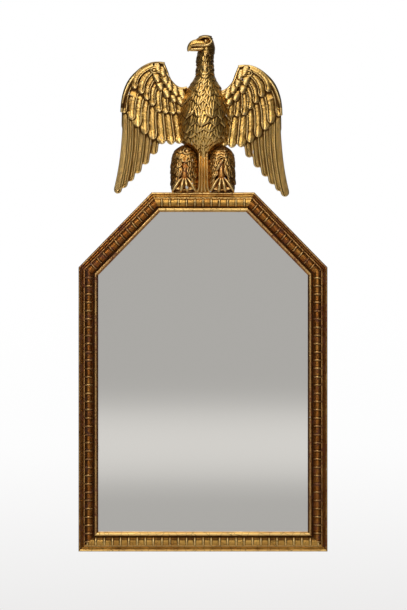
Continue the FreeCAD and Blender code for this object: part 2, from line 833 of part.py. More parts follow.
def wing_feather(side, root, tip, bow, width, root_out, tip_out, ridge):
    # Blade with a raised quill line, narrowing to a rounded tip; bow bends it outwards.
    length = math.hypot(tip[0] - root[0], tip[1] - root[1])
    across = ((tip[1] - root[1]) / length, -(tip[0] - root[0]) / length)
    middle = ((root[0] + tip[0]) / 2 - across[0] * 2 * bow, (root[1] + tip[1]) / 2 - across[1] * 2 * bow)
    sections = []
    for t, share in feather_stations:
        centre = bezier((root, middle, tip), t)
        ahead, behind = bezier((root, middle, tip), t + 0.01), bezier((root, middle, tip), t - 0.01)
        step = math.hypot(ahead[0] - behind[0], ahead[1] - behind[1])
        side_x, side_z = (behind[1] - ahead[1]) / step, (ahead[0] - behind[0]) / step
        reach = width / 2 * share
        eaves = root_out + (tip_out - root_out) * t
        places = ((-1, crest_back), (-1, eaves), (0, eaves + ridge * share), (1, eaves), (1, crest_back))
        section = []
        for edge, out in places:
            x, height = wing_place(side, centre[0] + side_x * reach * edge, centre[1] + side_z * reach * edge)
            section.append(crest_point(x, out, height))
        sections.append(section)
    return faceted_loft(sections)


def wing(side):
    def outline_at(outline, out, scale=1.0):
        middle_reach = sum(p[0] for p in outline) / len(outline)
        middle_height = sum(p[1] for p in outline) / len(outline)
        section = []
        for reach, height in outline:
            x, z = wing_place(side, middle_reach + (reach - middle_reach) * scale,
                              middle_height + (height - middle_height) * scale)
            section.append(crest_point(x, out, z))
        return section

    plate = faceted_loft([outline_at(wing_outline, crest_back), outline_at(wing_outline, wing_plate_out)])
    shoulder = faceted_loft([outline_at(shoulder_outline, crest_back), outline_at(shoulder_outline, wing_plate_out),
                             outline_at(shoulder_outline, shoulder_out, shoulder_taper)])
    feathers = []
    for count, roots, tips, width, root_out, tip_out, ridge, outer_bow, inner_bow in wing_tiers:
        for k in range(count):
            t = k / (count - 1)
            bow = outer_bow + (inner_bow - outer_bow) * t
            feathers.append(wing_feather(side, bezier(roots, t), bezier(tips, t), bow, width,
                                         root_out, tip_out, ridge))
    return plate.fuse([shoulder] + feathers).removeSplitter()


wing_dowels = []
wing_holes = []
for side in (-1, 1):
    for height in wing_dowel_heights:
        start, end = wing_dowel_ends
        low = crest_point(side * start, wing_dowel_out, height)
        reach = Vector(side, 0, 0)
        wing_dowels.append(dowel(low, reach, end - start, wing_dowel_radius))
        wing_holes.append(dowel(low, reach, end - start, wing_dowel_radius + hole_clearance))
nodes["wing_dowels"] = Part.makeCompound(wing_dowels)
for name, side in (("left", -1), ("right", 1)):
    nodes[name + "_wing"] = wing(side).cut([body_space, thigh_spaces[side]] + wing_holes)
nodes["eagle_body"] = body_form.cut([neck_hole] + wing_holes + iron_holes)


os.makedirs("parts", exist_ok=True)
for name, shape in nodes.items():
    shape.exportStep("parts/" + name + ".step")
    print(name, "solids", len(shape.Solids), "valid", shape.isValid(), "volume", round(shape.Volume / 1000, 2))
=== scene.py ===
import math
import random

import bmesh
import bpy
import numpy as np
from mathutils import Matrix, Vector, noise


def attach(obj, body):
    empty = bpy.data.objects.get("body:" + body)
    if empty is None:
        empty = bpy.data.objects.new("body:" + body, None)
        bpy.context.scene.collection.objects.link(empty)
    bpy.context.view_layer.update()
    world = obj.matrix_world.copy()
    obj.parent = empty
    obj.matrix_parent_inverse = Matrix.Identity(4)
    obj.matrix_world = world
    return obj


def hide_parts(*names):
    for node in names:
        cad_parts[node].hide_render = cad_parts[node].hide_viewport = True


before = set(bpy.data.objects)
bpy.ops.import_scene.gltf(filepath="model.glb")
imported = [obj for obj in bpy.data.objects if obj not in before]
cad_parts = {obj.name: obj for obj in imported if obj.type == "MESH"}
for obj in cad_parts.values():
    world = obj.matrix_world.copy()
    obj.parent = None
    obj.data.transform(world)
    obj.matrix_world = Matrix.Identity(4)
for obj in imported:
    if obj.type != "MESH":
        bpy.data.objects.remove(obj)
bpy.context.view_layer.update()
print("frame loaded:", len(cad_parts), "nodes")

# Sizes here are in millimetres and turned to metres by the place functions.
# x to the right, "out" from the wall towards the viewer, z up, crest heights above the frame's top.
mm = 0.001
outward, rightward = Vector((0, -1, 0)), Vector((1, 0, 0))
frameSizes = {
    "half": 280,
    "foot": -556,
    "top": 252,
    "cantRun": 164.5,
    "cantRise": 168.5,
    "railWidth": 44,
    "crestBack": 4,
}
half, foot, top = frameSizes["half"], frameSizes["foot"], frameSizes["top"]
railWidth, crestBack = frameSizes["railWidth"], frameSizes["crestBack"]
cantFoot, cantHead = top - frameSizes["cantRise"], half - frameSizes["cantRun"]
corners = [(-half, foot), (half, foot), (half, cantFoot),
           (cantHead, top), (-cantHead, top), (-half, cantFoot)]
sideNames = ["bottom", "right", "right_cant", "top", "left_cant", "left"]
railNodes = ["bottom_rail", "right_stile", "right_cant_rail", "top_rail", "left_cant_rail", "left_stile"]


def place(x, out, z):
    return Vector((x * mm, -out * mm, z * mm))


def crestPlace(x, out, height):
    return place(x, max(out, crestBack), top + height)


def smoothStep(low, high, value):
    t = min(max((value - low) / (high - low), 0.0), 1.0)
    return t * t * (3 - 2 * t)


def hump(value, middle, reach):
    return math.exp(-((value - middle) / reach) ** 2)


def bezier(controls, t):
    points = [Vector(control) for control in controls]
    while len(points) > 1:
        points = [a.lerp(b, t) for a, b in zip(points, points[1:])]
    return points[0]


def blended(stations, height):
    # smooth values between stations, as a batten would run; each station starts with its height
    last = len(stations) - 1
    k = max(i for i in range(last) if stations[i][0] <= height or i == 0)
    before, low, high, after = (stations[min(max(k + d, 0), last)] for d in (-1, 0, 1, 2))
    step = high[0] - low[0]
    t = (height - low[0]) / step
    values = []
    for column in range(1, len(low)):
        slopeLow = (high[column] - before[column]) / (high[0] - before[0]) * step
        slopeHigh = (after[column] - low[column]) / (after[0] - low[0]) * step
        values.append(low[column] + (high[column] - low[column]) * t * t * (3 - 2 * t)
                      + slopeLow * t * (1 - t) ** 2 - slopeHigh * t * t * (1 - t))
    return values


# Shader maths: a Signal is a socket that takes part in Python expressions

class Signal:
    def __init__(self, paint, socket):
        self.paint = paint
        self.socket = socket

    def combine(self, operation, first, second=None, clamp=False):
        sockets = {0: first} if second is None else {0: first, 1: second}
        return self.paint.node("ShaderNodeMath", {"operation": operation, "use_clamp": clamp}, sockets)

    def __add__(self, other):
        return self.combine("ADD", self, other)

    __radd__ = __add__

    def __sub__(self, other):
        return self.combine("SUBTRACT", self, other)

    def __rsub__(self, other):
        return self.combine("SUBTRACT", other, self)

    def __mul__(self, other):
        return self.combine("MULTIPLY", self, other)

    __rmul__ = __mul__

    def above(self, low, high):
        # 0 below low, 1 above high, smooth between
        return self.paint.node("ShaderNodeMapRange", {"interpolation_type": "SMOOTHSTEP"},
                               {"Value": self, "From Min": low, "From Max": high})

    def kept(self):
        return self.combine("ADD", self, 0.0, clamp=True)


class Paint:
    # the nodes of a material or of the world
    def __init__(self, owner, coordinates="Object"):
        self.owner = owner
        owner.use_nodes = True
        self.tree = owner.node_tree
        self.tree.nodes.clear()
        self.where = self.node("ShaderNodeTexCoord", {}, {}, coordinates)

    def node(self, kind, settings, sockets, output=0):
        made = self.tree.nodes.new(kind)
        for key, value in settings.items():
            if key == "stops":
                stops = made.color_ramp.elements
                stops[0].position, stops[0].color = value[0]
                stops[1].position, stops[1].color = value[-1]
                for position, colour in value[1:-1]:
                    stops.new(position).color = colour
            else:
                setattr(made, key, value)
        for key, value in sockets.items():
            if isinstance(value, Signal):
                self.tree.links.new(value.socket, made.inputs[key])
            else:
                made.inputs[key].default_value = value
        return Signal(self, made.outputs[output]) if made.outputs else None

    def noise(self, scale, detail=3.0, roughness=0.55, stretch=None):
        where = self.where
        if stretch:
            where = self.node("ShaderNodeMapping", {}, {"Vector": self.where, "Scale": stretch})
        sockets = {"Vector": where, "Scale": scale, "Detail": detail, "Roughness": roughness}
        return self.node("ShaderNodeTexNoise", {}, sockets, "Fac")

    def cracks(self, scale):
        return self.node("ShaderNodeTexVoronoi", {"feature": "DISTANCE_TO_EDGE"},
                         {"Vector": self.where, "Scale": scale}, "Distance")

    def mark(self, name):
        return self.node("ShaderNodeAttribute", {"attribute_name": name}, {}, "Fac")

    def mix(self, share, first, second):
        return self.node("ShaderNodeMix", {"data_type": "RGBA"}, {0: share, 6: first, 7: second}, 2)

    def surface(self, constants, **varying):
        sockets = dict(constants)
        sockets.update({key.replace("_", " "): value for key, value in varying.items()})
        shader = self.node("ShaderNodeBsdfPrincipled", {}, sockets)
        self.node("ShaderNodeOutputMaterial", {}, {"Surface": shader})
        return self.owner

    def bump(self, height, strength, distance):
        sockets = {"Height": height, "Strength": strength, "Distance": distance}
        return self.node("ShaderNodeBump", {}, sockets)


def newPaint(name):
    return Paint(bpy.data.materials.new(name))


# Finishes

gold = {
    "leaf": (0.86, 0.51, 0.125, 1.0),
    "paintedHighlightLeaf": (0.98, 0.71, 0.31, 1.0),
    "amber": (0.52, 0.24, 0.042, 1.0),
    "redGold": (0.36, 0.115, 0.020, 1.0),
    "wax": (0.070, 0.026, 0.007, 1.0),
    "clay": (0.21, 0.050, 0.014, 1.0),
    "gesso": (0.80, 0.76, 0.70, 1.0),
}


def gilding(name, amber, red, wax, clay, chips, cracks):
    # gold leaf over red clay and gesso: brown wax in the hollows, deepened by painted shade, paler leaf on
    # the crests as a painted highlight, clay where rubbed, a few white chips
    paint = newPaint(name)
    fine = paint.mark("fineRelief")
    broad = paint.mark("broadRelief")
    stain = paint.mark("stain")
    warmth = paint.mark("warmth")
    cloud = paint.noise(22.0, 4.0)
    patch = paint.noise(85.0, 5.0, 0.6)
    grain = paint.noise(480.0, 3.0, 0.6)
    speck = paint.noise(1300.0, 2.0)
    crest = (fine * 0.7 + broad * 0.5).above(0.05, 0.8)
    sunk = (fine * -1.0).above(0.0, 0.6) * 0.6 + (broad * -1.0).above(-0.05, 0.65) * 0.75
    # painted shade joins the brown wax here; the wax also gathers in the hollows as patina
    waxAndShade = sunk * wax + (patch - 0.5) * 0.7 + (cloud - 0.5) * 0.45 + stain - crest * 0.3
    waxAndShade = waxAndShade.above(0.12, 0.85)
    colour = paint.mix((amber + (cloud - 0.5) * 1.6 + (patch - 0.5) * 0.8 - crest * 0.4).kept(),
                       gold["leaf"], gold["amber"])
    reddened = (red + warmth + (cloud - 0.5) * 0.9 - (patch - 0.5) * 1.1).kept()
    colour = paint.mix(reddened, colour, gold["redGold"])
    # painted highlight: paler leaf on the raised crests
    colour = paint.mix((crest * (0.72 - reddened * 0.4)).kept(), colour, gold["paintedHighlightLeaf"])
    rubbed = (patch * 0.6 + grain * 0.25 + cloud * 0.25 + warmth * 0.12 + clay * 0.3).above(0.68, 0.76)
    colour = paint.mix(rubbed * 0.9, colour, gold["clay"])
    colour = paint.mix(waxAndShade * 0.94, colour, gold["wax"])
    metallic = 1.0 - rubbed * 0.6
    rough = (0.30 + (patch - 0.4) * 0.22 + waxAndShade * 0.22 + rubbed * 0.15 + (grain - 0.5) * 0.12).kept()
    height = grain * 0.35 + patch * 0.5 + speck * 0.12
    if cracks:
        split = paint.cracks(48.0).above(0.0, 0.03)
        height = height + split * 0.5
        colour = paint.mix((1.0 - split) * cracks, colour, gold["wax"])
    chip = (paint.noise(58.0, 2.0) * 0.7 + patch * 0.3 + crest * 0.1).above(0.78 - chips, 0.785 - chips)
    colour = paint.mix(chip, colour, gold["gesso"])
    metallic = (metallic * (1.0 - chip)).kept()
    rough = (rough + chip * 0.5).kept()
    normal = paint.bump(height - chip * 0.6, 0.6, 0.0006)
    return paint.surface({"IOR": 1.5}, Base_Color=colour, Metallic=metallic, Roughness=rough, Normal=normal)


def wood(name, pale, dark, along="z", dirt=0.35):
    # bare softwood gone brown, with grain along one axis
    paint = newPaint(name)
    stretch = {"z": (60.0, 60.0, 2.2), "x": (2.2, 60.0, 60.0)}[along]
    rings = paint.noise(3.0, 5.0, 0.6, stretch)
    fibre = paint.noise(14.0, 3.0, 0.6, stretch)
    cloud = paint.noise(9.0, 4.0)
    colour = paint.mix(rings.above(0.35, 0.68), pale, dark)
    colour = paint.mix((cloud.above(0.45, 0.75) * dirt).kept(), colour, (0.035, 0.024, 0.015, 1.0))
    normal = paint.bump(rings * 0.5 + fibre * 0.5, 0.5, 0.0005)
    rough = (0.62 + (fibre - 0.5) * 0.3).kept()
    return paint.surface({"IOR": 1.45}, Base_Color=colour, Roughness=rough, Normal=normal)


def oldMetal(name, bright, rust, rustShare, roughness):
    paint = newPaint(name)
    cloud = paint.noise(120.0, 5.0, 0.65)
    grain = paint.noise(900.0, 3.0)
    rusted = (cloud + (grain - 0.5) * 0.25).above(0.62 - rustShare * 0.35, 0.75 - rustShare * 0.3)
    colour = paint.mix(rusted, bright, rust)
    rough = (roughness + rusted * 0.35 + (grain - 0.5) * 0.2).kept()
    normal = paint.bump(cloud * 0.5 + grain * 0.3, 0.4, 0.0003)
    metallic = 1.0 - rusted * 0.8
    return paint.surface({"IOR": 1.5}, Base_Color=colour, Metallic=metallic, Roughness=rough, Normal=normal)


def silvering():
    # old plate: soft grey reflection, with foxing close to its edges
    paint = newPaint("oldSilvering")
    edge = paint.mark("edgeNear")
    bloom = paint.noise(40.0, 6.0, 0.7)
    spots = paint.noise(220.0, 3.0, 0.6)
    foxing = (edge * 1.1 + (bloom - 0.5) * 0.6 + (spots - 0.5) * 0.4).above(1.0, 1.25)
    pits = (spots + (bloom - 0.5) * 0.3).above(0.80, 0.84)
    colour = paint.mix(foxing * 0.6, (0.90, 0.89, 0.87, 1.0), (0.34, 0.31, 0.27, 1.0))
    colour = paint.mix(pits * 0.7, colour, (0.12, 0.10, 0.08, 1.0))
    rough = (0.035 + foxing * 0.22 + pits * 0.3).kept()
    return paint.surface({"IOR": 1.5}, Base_Color=colour, Metallic=1.0 - pits * 0.8, Roughness=rough)


finishes = {
    # lit and shaded copies of the rail gilding: the sides darker and redder as painted shade, with more
    # clay rubbed through
    "litRail": gilding("giltLitRail", 0.50, 0.08, 1.0, 0.1, 0.0, 0.6),
    "shadedWornRail": gilding("giltShadedWornRail", 0.85, 0.80, 1.3, 0.4, 0.0, 0.7),
    "carving": gilding("giltCarving", 0.25, 0.0, 1.2, 0.0, 0.03, 0.0),
    "bodyCarving": gilding("giltBodyCarving", 0.05, 0.0, 0.95, 0.0, 0.03, 0.0),
    "legCarving": gilding("giltLegCarving", 0.6, 0.25, 1.35, 0.1, 0.03, 0.0),
    # painted light: the tail's gilding is paler and less waxed to offset the shade between the thighs
    "tailCarving": gilding("giltTailPaintedLight", -0.5, 0.0, 0.45, 0.0, 0.02, 0.0),
    "ochreSide": gilding("giltToneSide", 0.95, 0.7, 1.0, 0.5, 0.0, 0.5),
    "rawWoodUp": wood("rawPineUpright", (0.42, 0.27, 0.14, 1.0), (0.24, 0.13, 0.055, 1.0), "z"),
    "rawWoodAcross": wood("rawPineAcross", (0.42, 0.27, 0.14, 1.0), (0.24, 0.13, 0.055, 1.0), "x"),
    "boards": wood("backboardPine", (0.50, 0.34, 0.18, 1.0), (0.30, 0.17, 0.075, 1.0), "x", 0.5),
    "iron": oldMetal("blackIron", (0.16, 0.15, 0.145, 1.0), (0.11, 0.045, 0.02, 1.0), 0.6, 0.48),
    "steel": oldMetal("hangerSteel", (0.48, 0.46, 0.43, 1.0), (0.16, 0.08, 0.04, 1.0), 0.25, 0.36),
    "brass": oldMetal("brassRing", (0.62, 0.44, 0.18, 1.0), (0.14, 0.09, 0.04, 1.0), 0.3, 0.34),
    "plate": silvering(),
}
print("finishes made:", len(finishes))


# Making a piece from a bmesh

def addObject(name, data):
    thing = bpy.data.objects.new(name, data)
    bpy.context.scene.collection.objects.link(thing)
    return thing


def meshOf(form, name):
    mesh = bpy.data.meshes.new(name)
    form.to_mesh(mesh)
    form.free()
    return mesh


def ofKind(items, kind):
    return [item for item in items if isinstance(item, kind)]


def addPiece(form, name, finish, nodes, sharp):
    return addMesh(meshOf(form, name), name, finish, nodes, sharp)


def addMesh(mesh, name, finish, nodes, sharp=None):
    piece = addObject(name, mesh)
    for key in finish:
        mesh.materials.append(finishes[key])
    mesh.shade_smooth()
    if sharp:
        mesh.set_sharp_from_angle(angle=math.radians(sharp))
    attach(piece, "root")
    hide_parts(*nodes)
    return piece


def addPatch(form, where, along, across):
    # A grid shaped by where(u, w, sunk), u from 0 to 1 and w from -1 to 1, closed behind by its
    # sunk edges, so that it is a solid chip.
    sheet = bmesh.ops.create_grid(form, x_segments=along, y_segments=across, size=0.5)["verts"]
    rim = list({edge for vert in sheet for edge in vert.link_edges if len(edge.link_faces) == 1})
    walls = bmesh.ops.extrude_edge_only(form, edges=rim)["geom"]
    bmesh.ops.contextual_create(form, geom=ofKind(walls, bmesh.types.BMEdge))
    for vert in ofKind(walls, bmesh.types.BMVert):
        vert.co = where(vert.co.x + 0.5, vert.co.y * 2, True)
    for vert in sheet:
        vert.co = where(vert.co.x + 0.5, vert.co.y * 2, False)


def addLoft(form, sections):
    # Round sections bridged in order and closed at both ends
    loops = []
    for section in sections:
        ring = bmesh.ops.create_circle(form, cap_ends=False, radius=1.0, segments=len(section))["verts"]
        for vert, point in zip(ring, section):
            vert.co = point
        loops.append([edge for vert in ring for edge in vert.link_edges if edge.verts[0] == vert])
    for before, after in zip(loops, loops[1:]):
        bmesh.ops.bridge_loops(form, edges=before + after)
    for ends in (loops[0], loops[-1]):
        bmesh.ops.contextual_create(form, geom=ends)


def addLimb(form, stations, reference, sides=14):
    # stations: x, out, height, half width, half depth
    centres = [place(x, out, top + height) for x, out, height, _, _ in stations]
    sections = []
    for i, (centre, station) in enumerate(zip(centres, stations)):
        ahead = (centres[min(i + 1, len(centres) - 1)] - centres[max(i - 1, 0)]).normalized()
        side = (reference - ahead * reference.dot(ahead)).normalized()
        rise = ahead.cross(side)
        wide, deep = station[3] * mm, station[4] * mm
        turns = [2 * math.pi * k / sides for k in range(sides)]
        sections.append([centre + side * (wide * math.cos(a)) + rise * (deep * math.sin(a)) for a in turns])
    addLoft(form, sections)


def smoothPath(stations, steps):
    # more stations on a smooth line through these
    keyed = [(float(i),) + tuple(station) for i, station in enumerate(stations)]
    last = len(stations) - 1
    return [tuple(blended(keyed, min(last * k / steps, last))) for k in range(steps + 1)]


def readAll(items, key, width=3, kind=np.float32):
    values = np.empty(len(items) * width, kind)
    items.foreach_get(key, values)
    return values.reshape(-1, width)


def markPoints(mesh, name, values):
    mesh.attributes.new(name, "FLOAT", "POINT").data.foreach_set("value", values.astype(np.float32))


def relief(mesh, rounds, depth, name):
    # how far each point stands above (+) or below (-) the surface smoothed over some rounds
    count = len(mesh.vertices)
    points = readAll(mesh.vertices, "co").astype(float)
    ends = readAll(mesh.edges, "vertices", 2, np.int32)
    normals = readAll(mesh.vertices, "normal")
    starts = np.concatenate([ends[:, 0], ends[:, 1]])
    stops = np.concatenate([ends[:, 1], ends[:, 0]])
    weight = np.bincount(starts, minlength=count).clip(1)
    smooth = points.copy()
    for _ in range(rounds):
        for axis in range(3):
            smooth[:, axis] = np.bincount(starts, smooth[stops, axis], count) / weight
    stand = ((points - smooth) * normals).sum(1) / (depth * mm)
    markPoints(mesh, name, np.clip(stand, -1, 1))


def carved(form, name, nodes, grain, finish="carving", stain=None, warmth=None):
    # chips fused into one carving, softened like gilded wood, and marked with its hollows
    bmesh.ops.recalc_face_normals(form, faces=form.faces)
    rough = meshOf(form, name + "Chips")
    block = addObject(name + "Chips", rough)
    fuse = block.modifiers.new("fuse", "REMESH")
    fuse.mode = "VOXEL"
    fuse.voxel_size = grain * mm
    soften = block.modifiers.new("soften", "SMOOTH")
    soften.factor = 0.5
    soften.iterations = 2
    solid = block.evaluated_get(bpy.context.evaluated_depsgraph_get())
    mesh = bpy.data.meshes.new_from_object(solid)
    mesh.name = name
    bpy.data.objects.remove(block)
    bpy.data.meshes.remove(rough)
    relief(mesh, 5, 0.22, "fineRelief")
    relief(mesh, 60, 1.7, "broadRelief")
    spots = readAll(mesh.vertices, "co") / mm
    for mark, amount in (("stain", stain), ("warmth", warmth)):
        if amount:
            markPoints(mesh, mark, amount(spots[:, 0], -spots[:, 1], spots[:, 2] - top))
    piece = addMesh(mesh, name, [finish, "rawWoodUp"], nodes)
    # the flat back is bare wood
    behind, middle = readAll(mesh.polygons, "normal")[:, 1], readAll(mesh.polygons, "center")[:, 1]
    bare = (behind > 0.8) & (middle > -(crestBack + 1.2) * mm)
    mesh.polygons.foreach_set("material_index", bare.astype(np.int32))
    print(name, "faces", len(mesh.polygons))
    return piece


# Moulded rails

railLook = {
    "backInset": 0.2,
    "edgeOut": 19.5,
    "edgeBead": (5.5, 2.7),
    "hollow": (6, 6),
    "platformOut": 24.5,
    "quirk": (33, 34, 2.5),
    "sightBead": (3.4, 1.2),
    "plateFront": 16,
    "plateRebate": 7,
    "boardRebate": 14,
    "boardThickness": 6,
    "overrun": 6,
    "step": 7,
    "waver": 0.16,
    "sharp": 38,
}


def sideFrame(i):
    start, end = corners[i], corners[(i + 1) % 6]
    length = math.hypot(end[0] - start[0], end[1] - start[1])
    along = ((end[0] - start[0]) / length, (end[1] - start[1]) / length)
    return start, along, (-along[1], along[0]), length


def sidePlace(i, along, across, out):
    start, way, inward, _ = sideFrame(i)
    return place(start[0] + way[0] * along + inward[0] * across, out,
                 start[1] + way[1] * along + inward[1] * across)


def arcPoints(start, middle, end, count):
    # points after start on the circle through three points
    (x1, y1), (x2, y2), (x3, y3) = start, middle, end
    d = 2 * (x1 * (y2 - y3) + x2 * (y3 - y1) + x3 * (y1 - y2))
    s1, s2, s3 = x1 * x1 + y1 * y1, x2 * x2 + y2 * y2, x3 * x3 + y3 * y3
    cx = (s1 * (y2 - y3) + s2 * (y3 - y1) + s3 * (y1 - y2)) / d
    cy = (s1 * (x3 - x2) + s2 * (x1 - x3) + s3 * (x2 - x1)) / d
    radius = math.hypot(x1 - cx, y1 - cy)
    a = math.atan2(y1 - cy, x1 - cx)
    turn = math.atan2(y3 - cy, x3 - cx) - a
    middleTurn = (math.atan2(y2 - cy, x2 - cx) - a) % (2 * math.pi)
    turn = turn % (2 * math.pi)
    if middleTurn > turn:
        turn -= 2 * math.pi
    return [(cx + radius * math.cos(a + turn * k / count), cy + radius * math.sin(a + turn * k / count))
            for k in range(1, count + 1)]


def railProfile():
    look = railLook
    beadWidth, beadRise = look["edgeBead"]
    start, radius = look["hollow"]
    floor = look["platformOut"] - radius
    quirkIn, sightIn, quirkDepth = look["quirk"]
    sightFoot = look["platformOut"] - quirkDepth
    sightRise, sightDrop = look["sightBead"]
    reach = radius * math.sqrt(0.5)
    edge = look["edgeOut"]
    points = [(0, 6), (0, 13), (0, edge)]
    points += arcPoints((0, edge), (beadWidth / 2, edge + beadRise), (beadWidth, edge), 10)
    points += [(beadWidth, floor), (start, floor)]
    points += arcPoints((start, floor), (start + reach, look["platformOut"] - reach),
                        (start + radius, look["platformOut"]), 8)
    points += [(quirkIn, look["platformOut"]), (quirkIn, sightFoot), (sightIn, sightFoot)]
    points += arcPoints((sightIn, sightFoot), ((sightIn + railWidth) / 2, sightFoot + sightRise),
                        (railWidth, sightFoot - sightDrop), 12)
    plateWall, boardWall = railWidth - look["plateRebate"], railWidth - look["boardRebate"]
    plateFront, boardFront = look["plateFront"], look["boardThickness"]
    points += [(railWidth, plateFront), (plateWall, plateFront), (plateWall, boardFront),
               (boardWall, boardFront), (boardWall, 0), (15, 0), (0, 0)]
    return points


def mitreCut(form, i):
    # trims both ends to the planes that halve the frame's corners
    for corner, other in ((i, (i - 1) % 6), ((i + 1) % 6, (i + 1) % 6)):
        inwardHere, inwardThere = Vector(sideFrame(i)[2]), Vector(sideFrame(other)[2])
        seam = (inwardThere - inwardHere).normalized()
        everything = list(form.verts) + list(form.edges) + list(form.faces)
        made = bmesh.ops.bisect_plane(form, geom=everything, dist=1e-7, clear_inner=True,
                                      plane_co=place(corners[corner][0], 0, corners[corner][1]),
                                      plane_no=(seam.x, 0, seam.y))
        bmesh.ops.contextual_create(form, geom=ofKind(made["geom_cut"], bmesh.types.BMEdge))


def waver(position, amount):
    return noise.noise(position * 38.0) * amount * mm + noise.noise(position * 140.0) * amount * 0.35 * mm


railShade = {
    # painted shade along parts of each moulding: distance from the outer edge, reach, depth
    "bottom": [(28.5, 4, 0.75), (33.5, 1.2, 0.2), (9, 2.5, 0.15)],
    "top": [(27.5, 3.5, 0.4), (1, 2.5, 0.25)],
    "left": [(4, 3, 0.5), (18, 5, 0.75), (36, 3.5, 0.5), (43, 3.5, 0.5)],
    "right": [(16.5, 5.5, 0.55), (8, 4, 0.1), (43, 3.5, 0.6)],
    "left_cant": [(17, 5, 0.45), (37, 4.5, 0.6)],
    "right_cant": [(14.5, 4, 0.3), (40, 3.5, 0.25)],
}


def railTone(side, across):
    # (fine, broad, painted shade) marks that follow the moulding's section
    fine = (hump(across, 2.7, 1.5) * 0.7 + hump(across, 12.3, 0.8) * 0.8 + hump(across, 39.0, 2.6) * 0.8
            - hump(across, 5.9, 0.7) * 0.9 - hump(across, 33.5, 0.9) * 1.1 - hump(across, 13.6, 0.8) * 0.4)
    broad = hump(across, 39.5, 3.0) * 0.45 + hump(across, 2.5, 2.5) * 0.35 - hump(across, 33.4, 1.6) * 0.4
    stain = sum(depth * hump(across, middle, reach) for middle, reach, depth in railShade[side])
    return fine, broad, stain


def markFrame(form, i, tones):
    # fineRelief, broadRelief and painted shade on every point, worked out from its place on side i
    start, way, inward, _ = sideFrame(i)
    names = ("fineRelief", "broadRelief", "stain")
    layers = {name: form.verts.layers.float.new(name) for name in names}
    for vert in form.verts:
        x, z = vert.co.x / mm - start[0], vert.co.z / mm - start[1]
        across = x * inward[0] + z * inward[1]
        along = x * way[0] + z * way[1]
        for name, value in zip(names, tones(along, across, -vert.co.y / mm)):
            vert[layers[name]] = value


def giltOf(i):
    # the top and bottom rails take the lit copy, the sides the shaded one
    return "litRail" if sideNames[i] in ("bottom", "top") else "shadedWornRail"


def rail(i):
    look = railLook
    form = bmesh.new()
    start, way, inward, length = sideFrame(i)
    overrun = railWidth + look["overrun"]
    steps = int((length + 2 * overrun) / look["step"])
    stride = (length + 2 * overrun) / steps
    ring = [form.verts.new(sidePlace(i, -overrun, across, out)) for across, out in railProfile()]
    loop = [form.edges.new((a, b)) for a, b in zip(ring, ring[1:] + ring[:1])]
    bmesh.ops.spin(form, geom=ring + loop, cent=(0, 0, 0), axis=(0, 1, 0), angle=0.0, steps=steps,
                   dvec=(way[0] * stride * mm, 0, way[1] * stride * mm))
    mitreCut(form, i)
    bmesh.ops.recalc_face_normals(form, faces=form.faces)
    hair = 0.01
    plateFront = look["plateFront"] + hair
    for vert in form.verts:
        if -vert.co.y / mm > plateFront:
            vert.co.y += waver(vert.co, look["waver"])
        else:
            # clear of the crest strap, which is let in flush
            vert.co.y = min(vert.co.y, -look["backInset"] * mm)
    markFrame(form, i, lambda along, across, out: railTone(sideNames[i], across))
    for face in form.faces:
        centre = face.calc_center_median()
        across = (centre.x / mm - start[0]) * inward[0] + (centre.z / mm - start[1]) * inward[1]
        out = -centre.y / mm
        if across < hair:
            face.material_index = 1
        elif out < plateFront or abs(face.normal.x * way[0] + face.normal.z * way[1]) > 0.4:
            face.material_index = 2
    finish = [giltOf(i), "ochreSide", "rawWoodAcross" if giltOf(i) == "litRail" else "rawWoodUp"]
    addPiece(form, sideNames[i] + "RailMoulding", finish, [railNodes[i]], look["sharp"])


for i in range(6):
    rail(i)
print("rails moulded")


# Ribbed rolls

rollLook = {
    "start": 13,
    "width": 20,
    "halfAngle": 75,
    "pitch": 18.5,
    "ribWidth": 3.4,
    "ribRise": 1.1,
    "fluteRise": 0.14,
    "flutes": 6,
    "overrun": 6,
    "step": 0.75,
    "waver": 0.1,
    "sharp": 60,
}


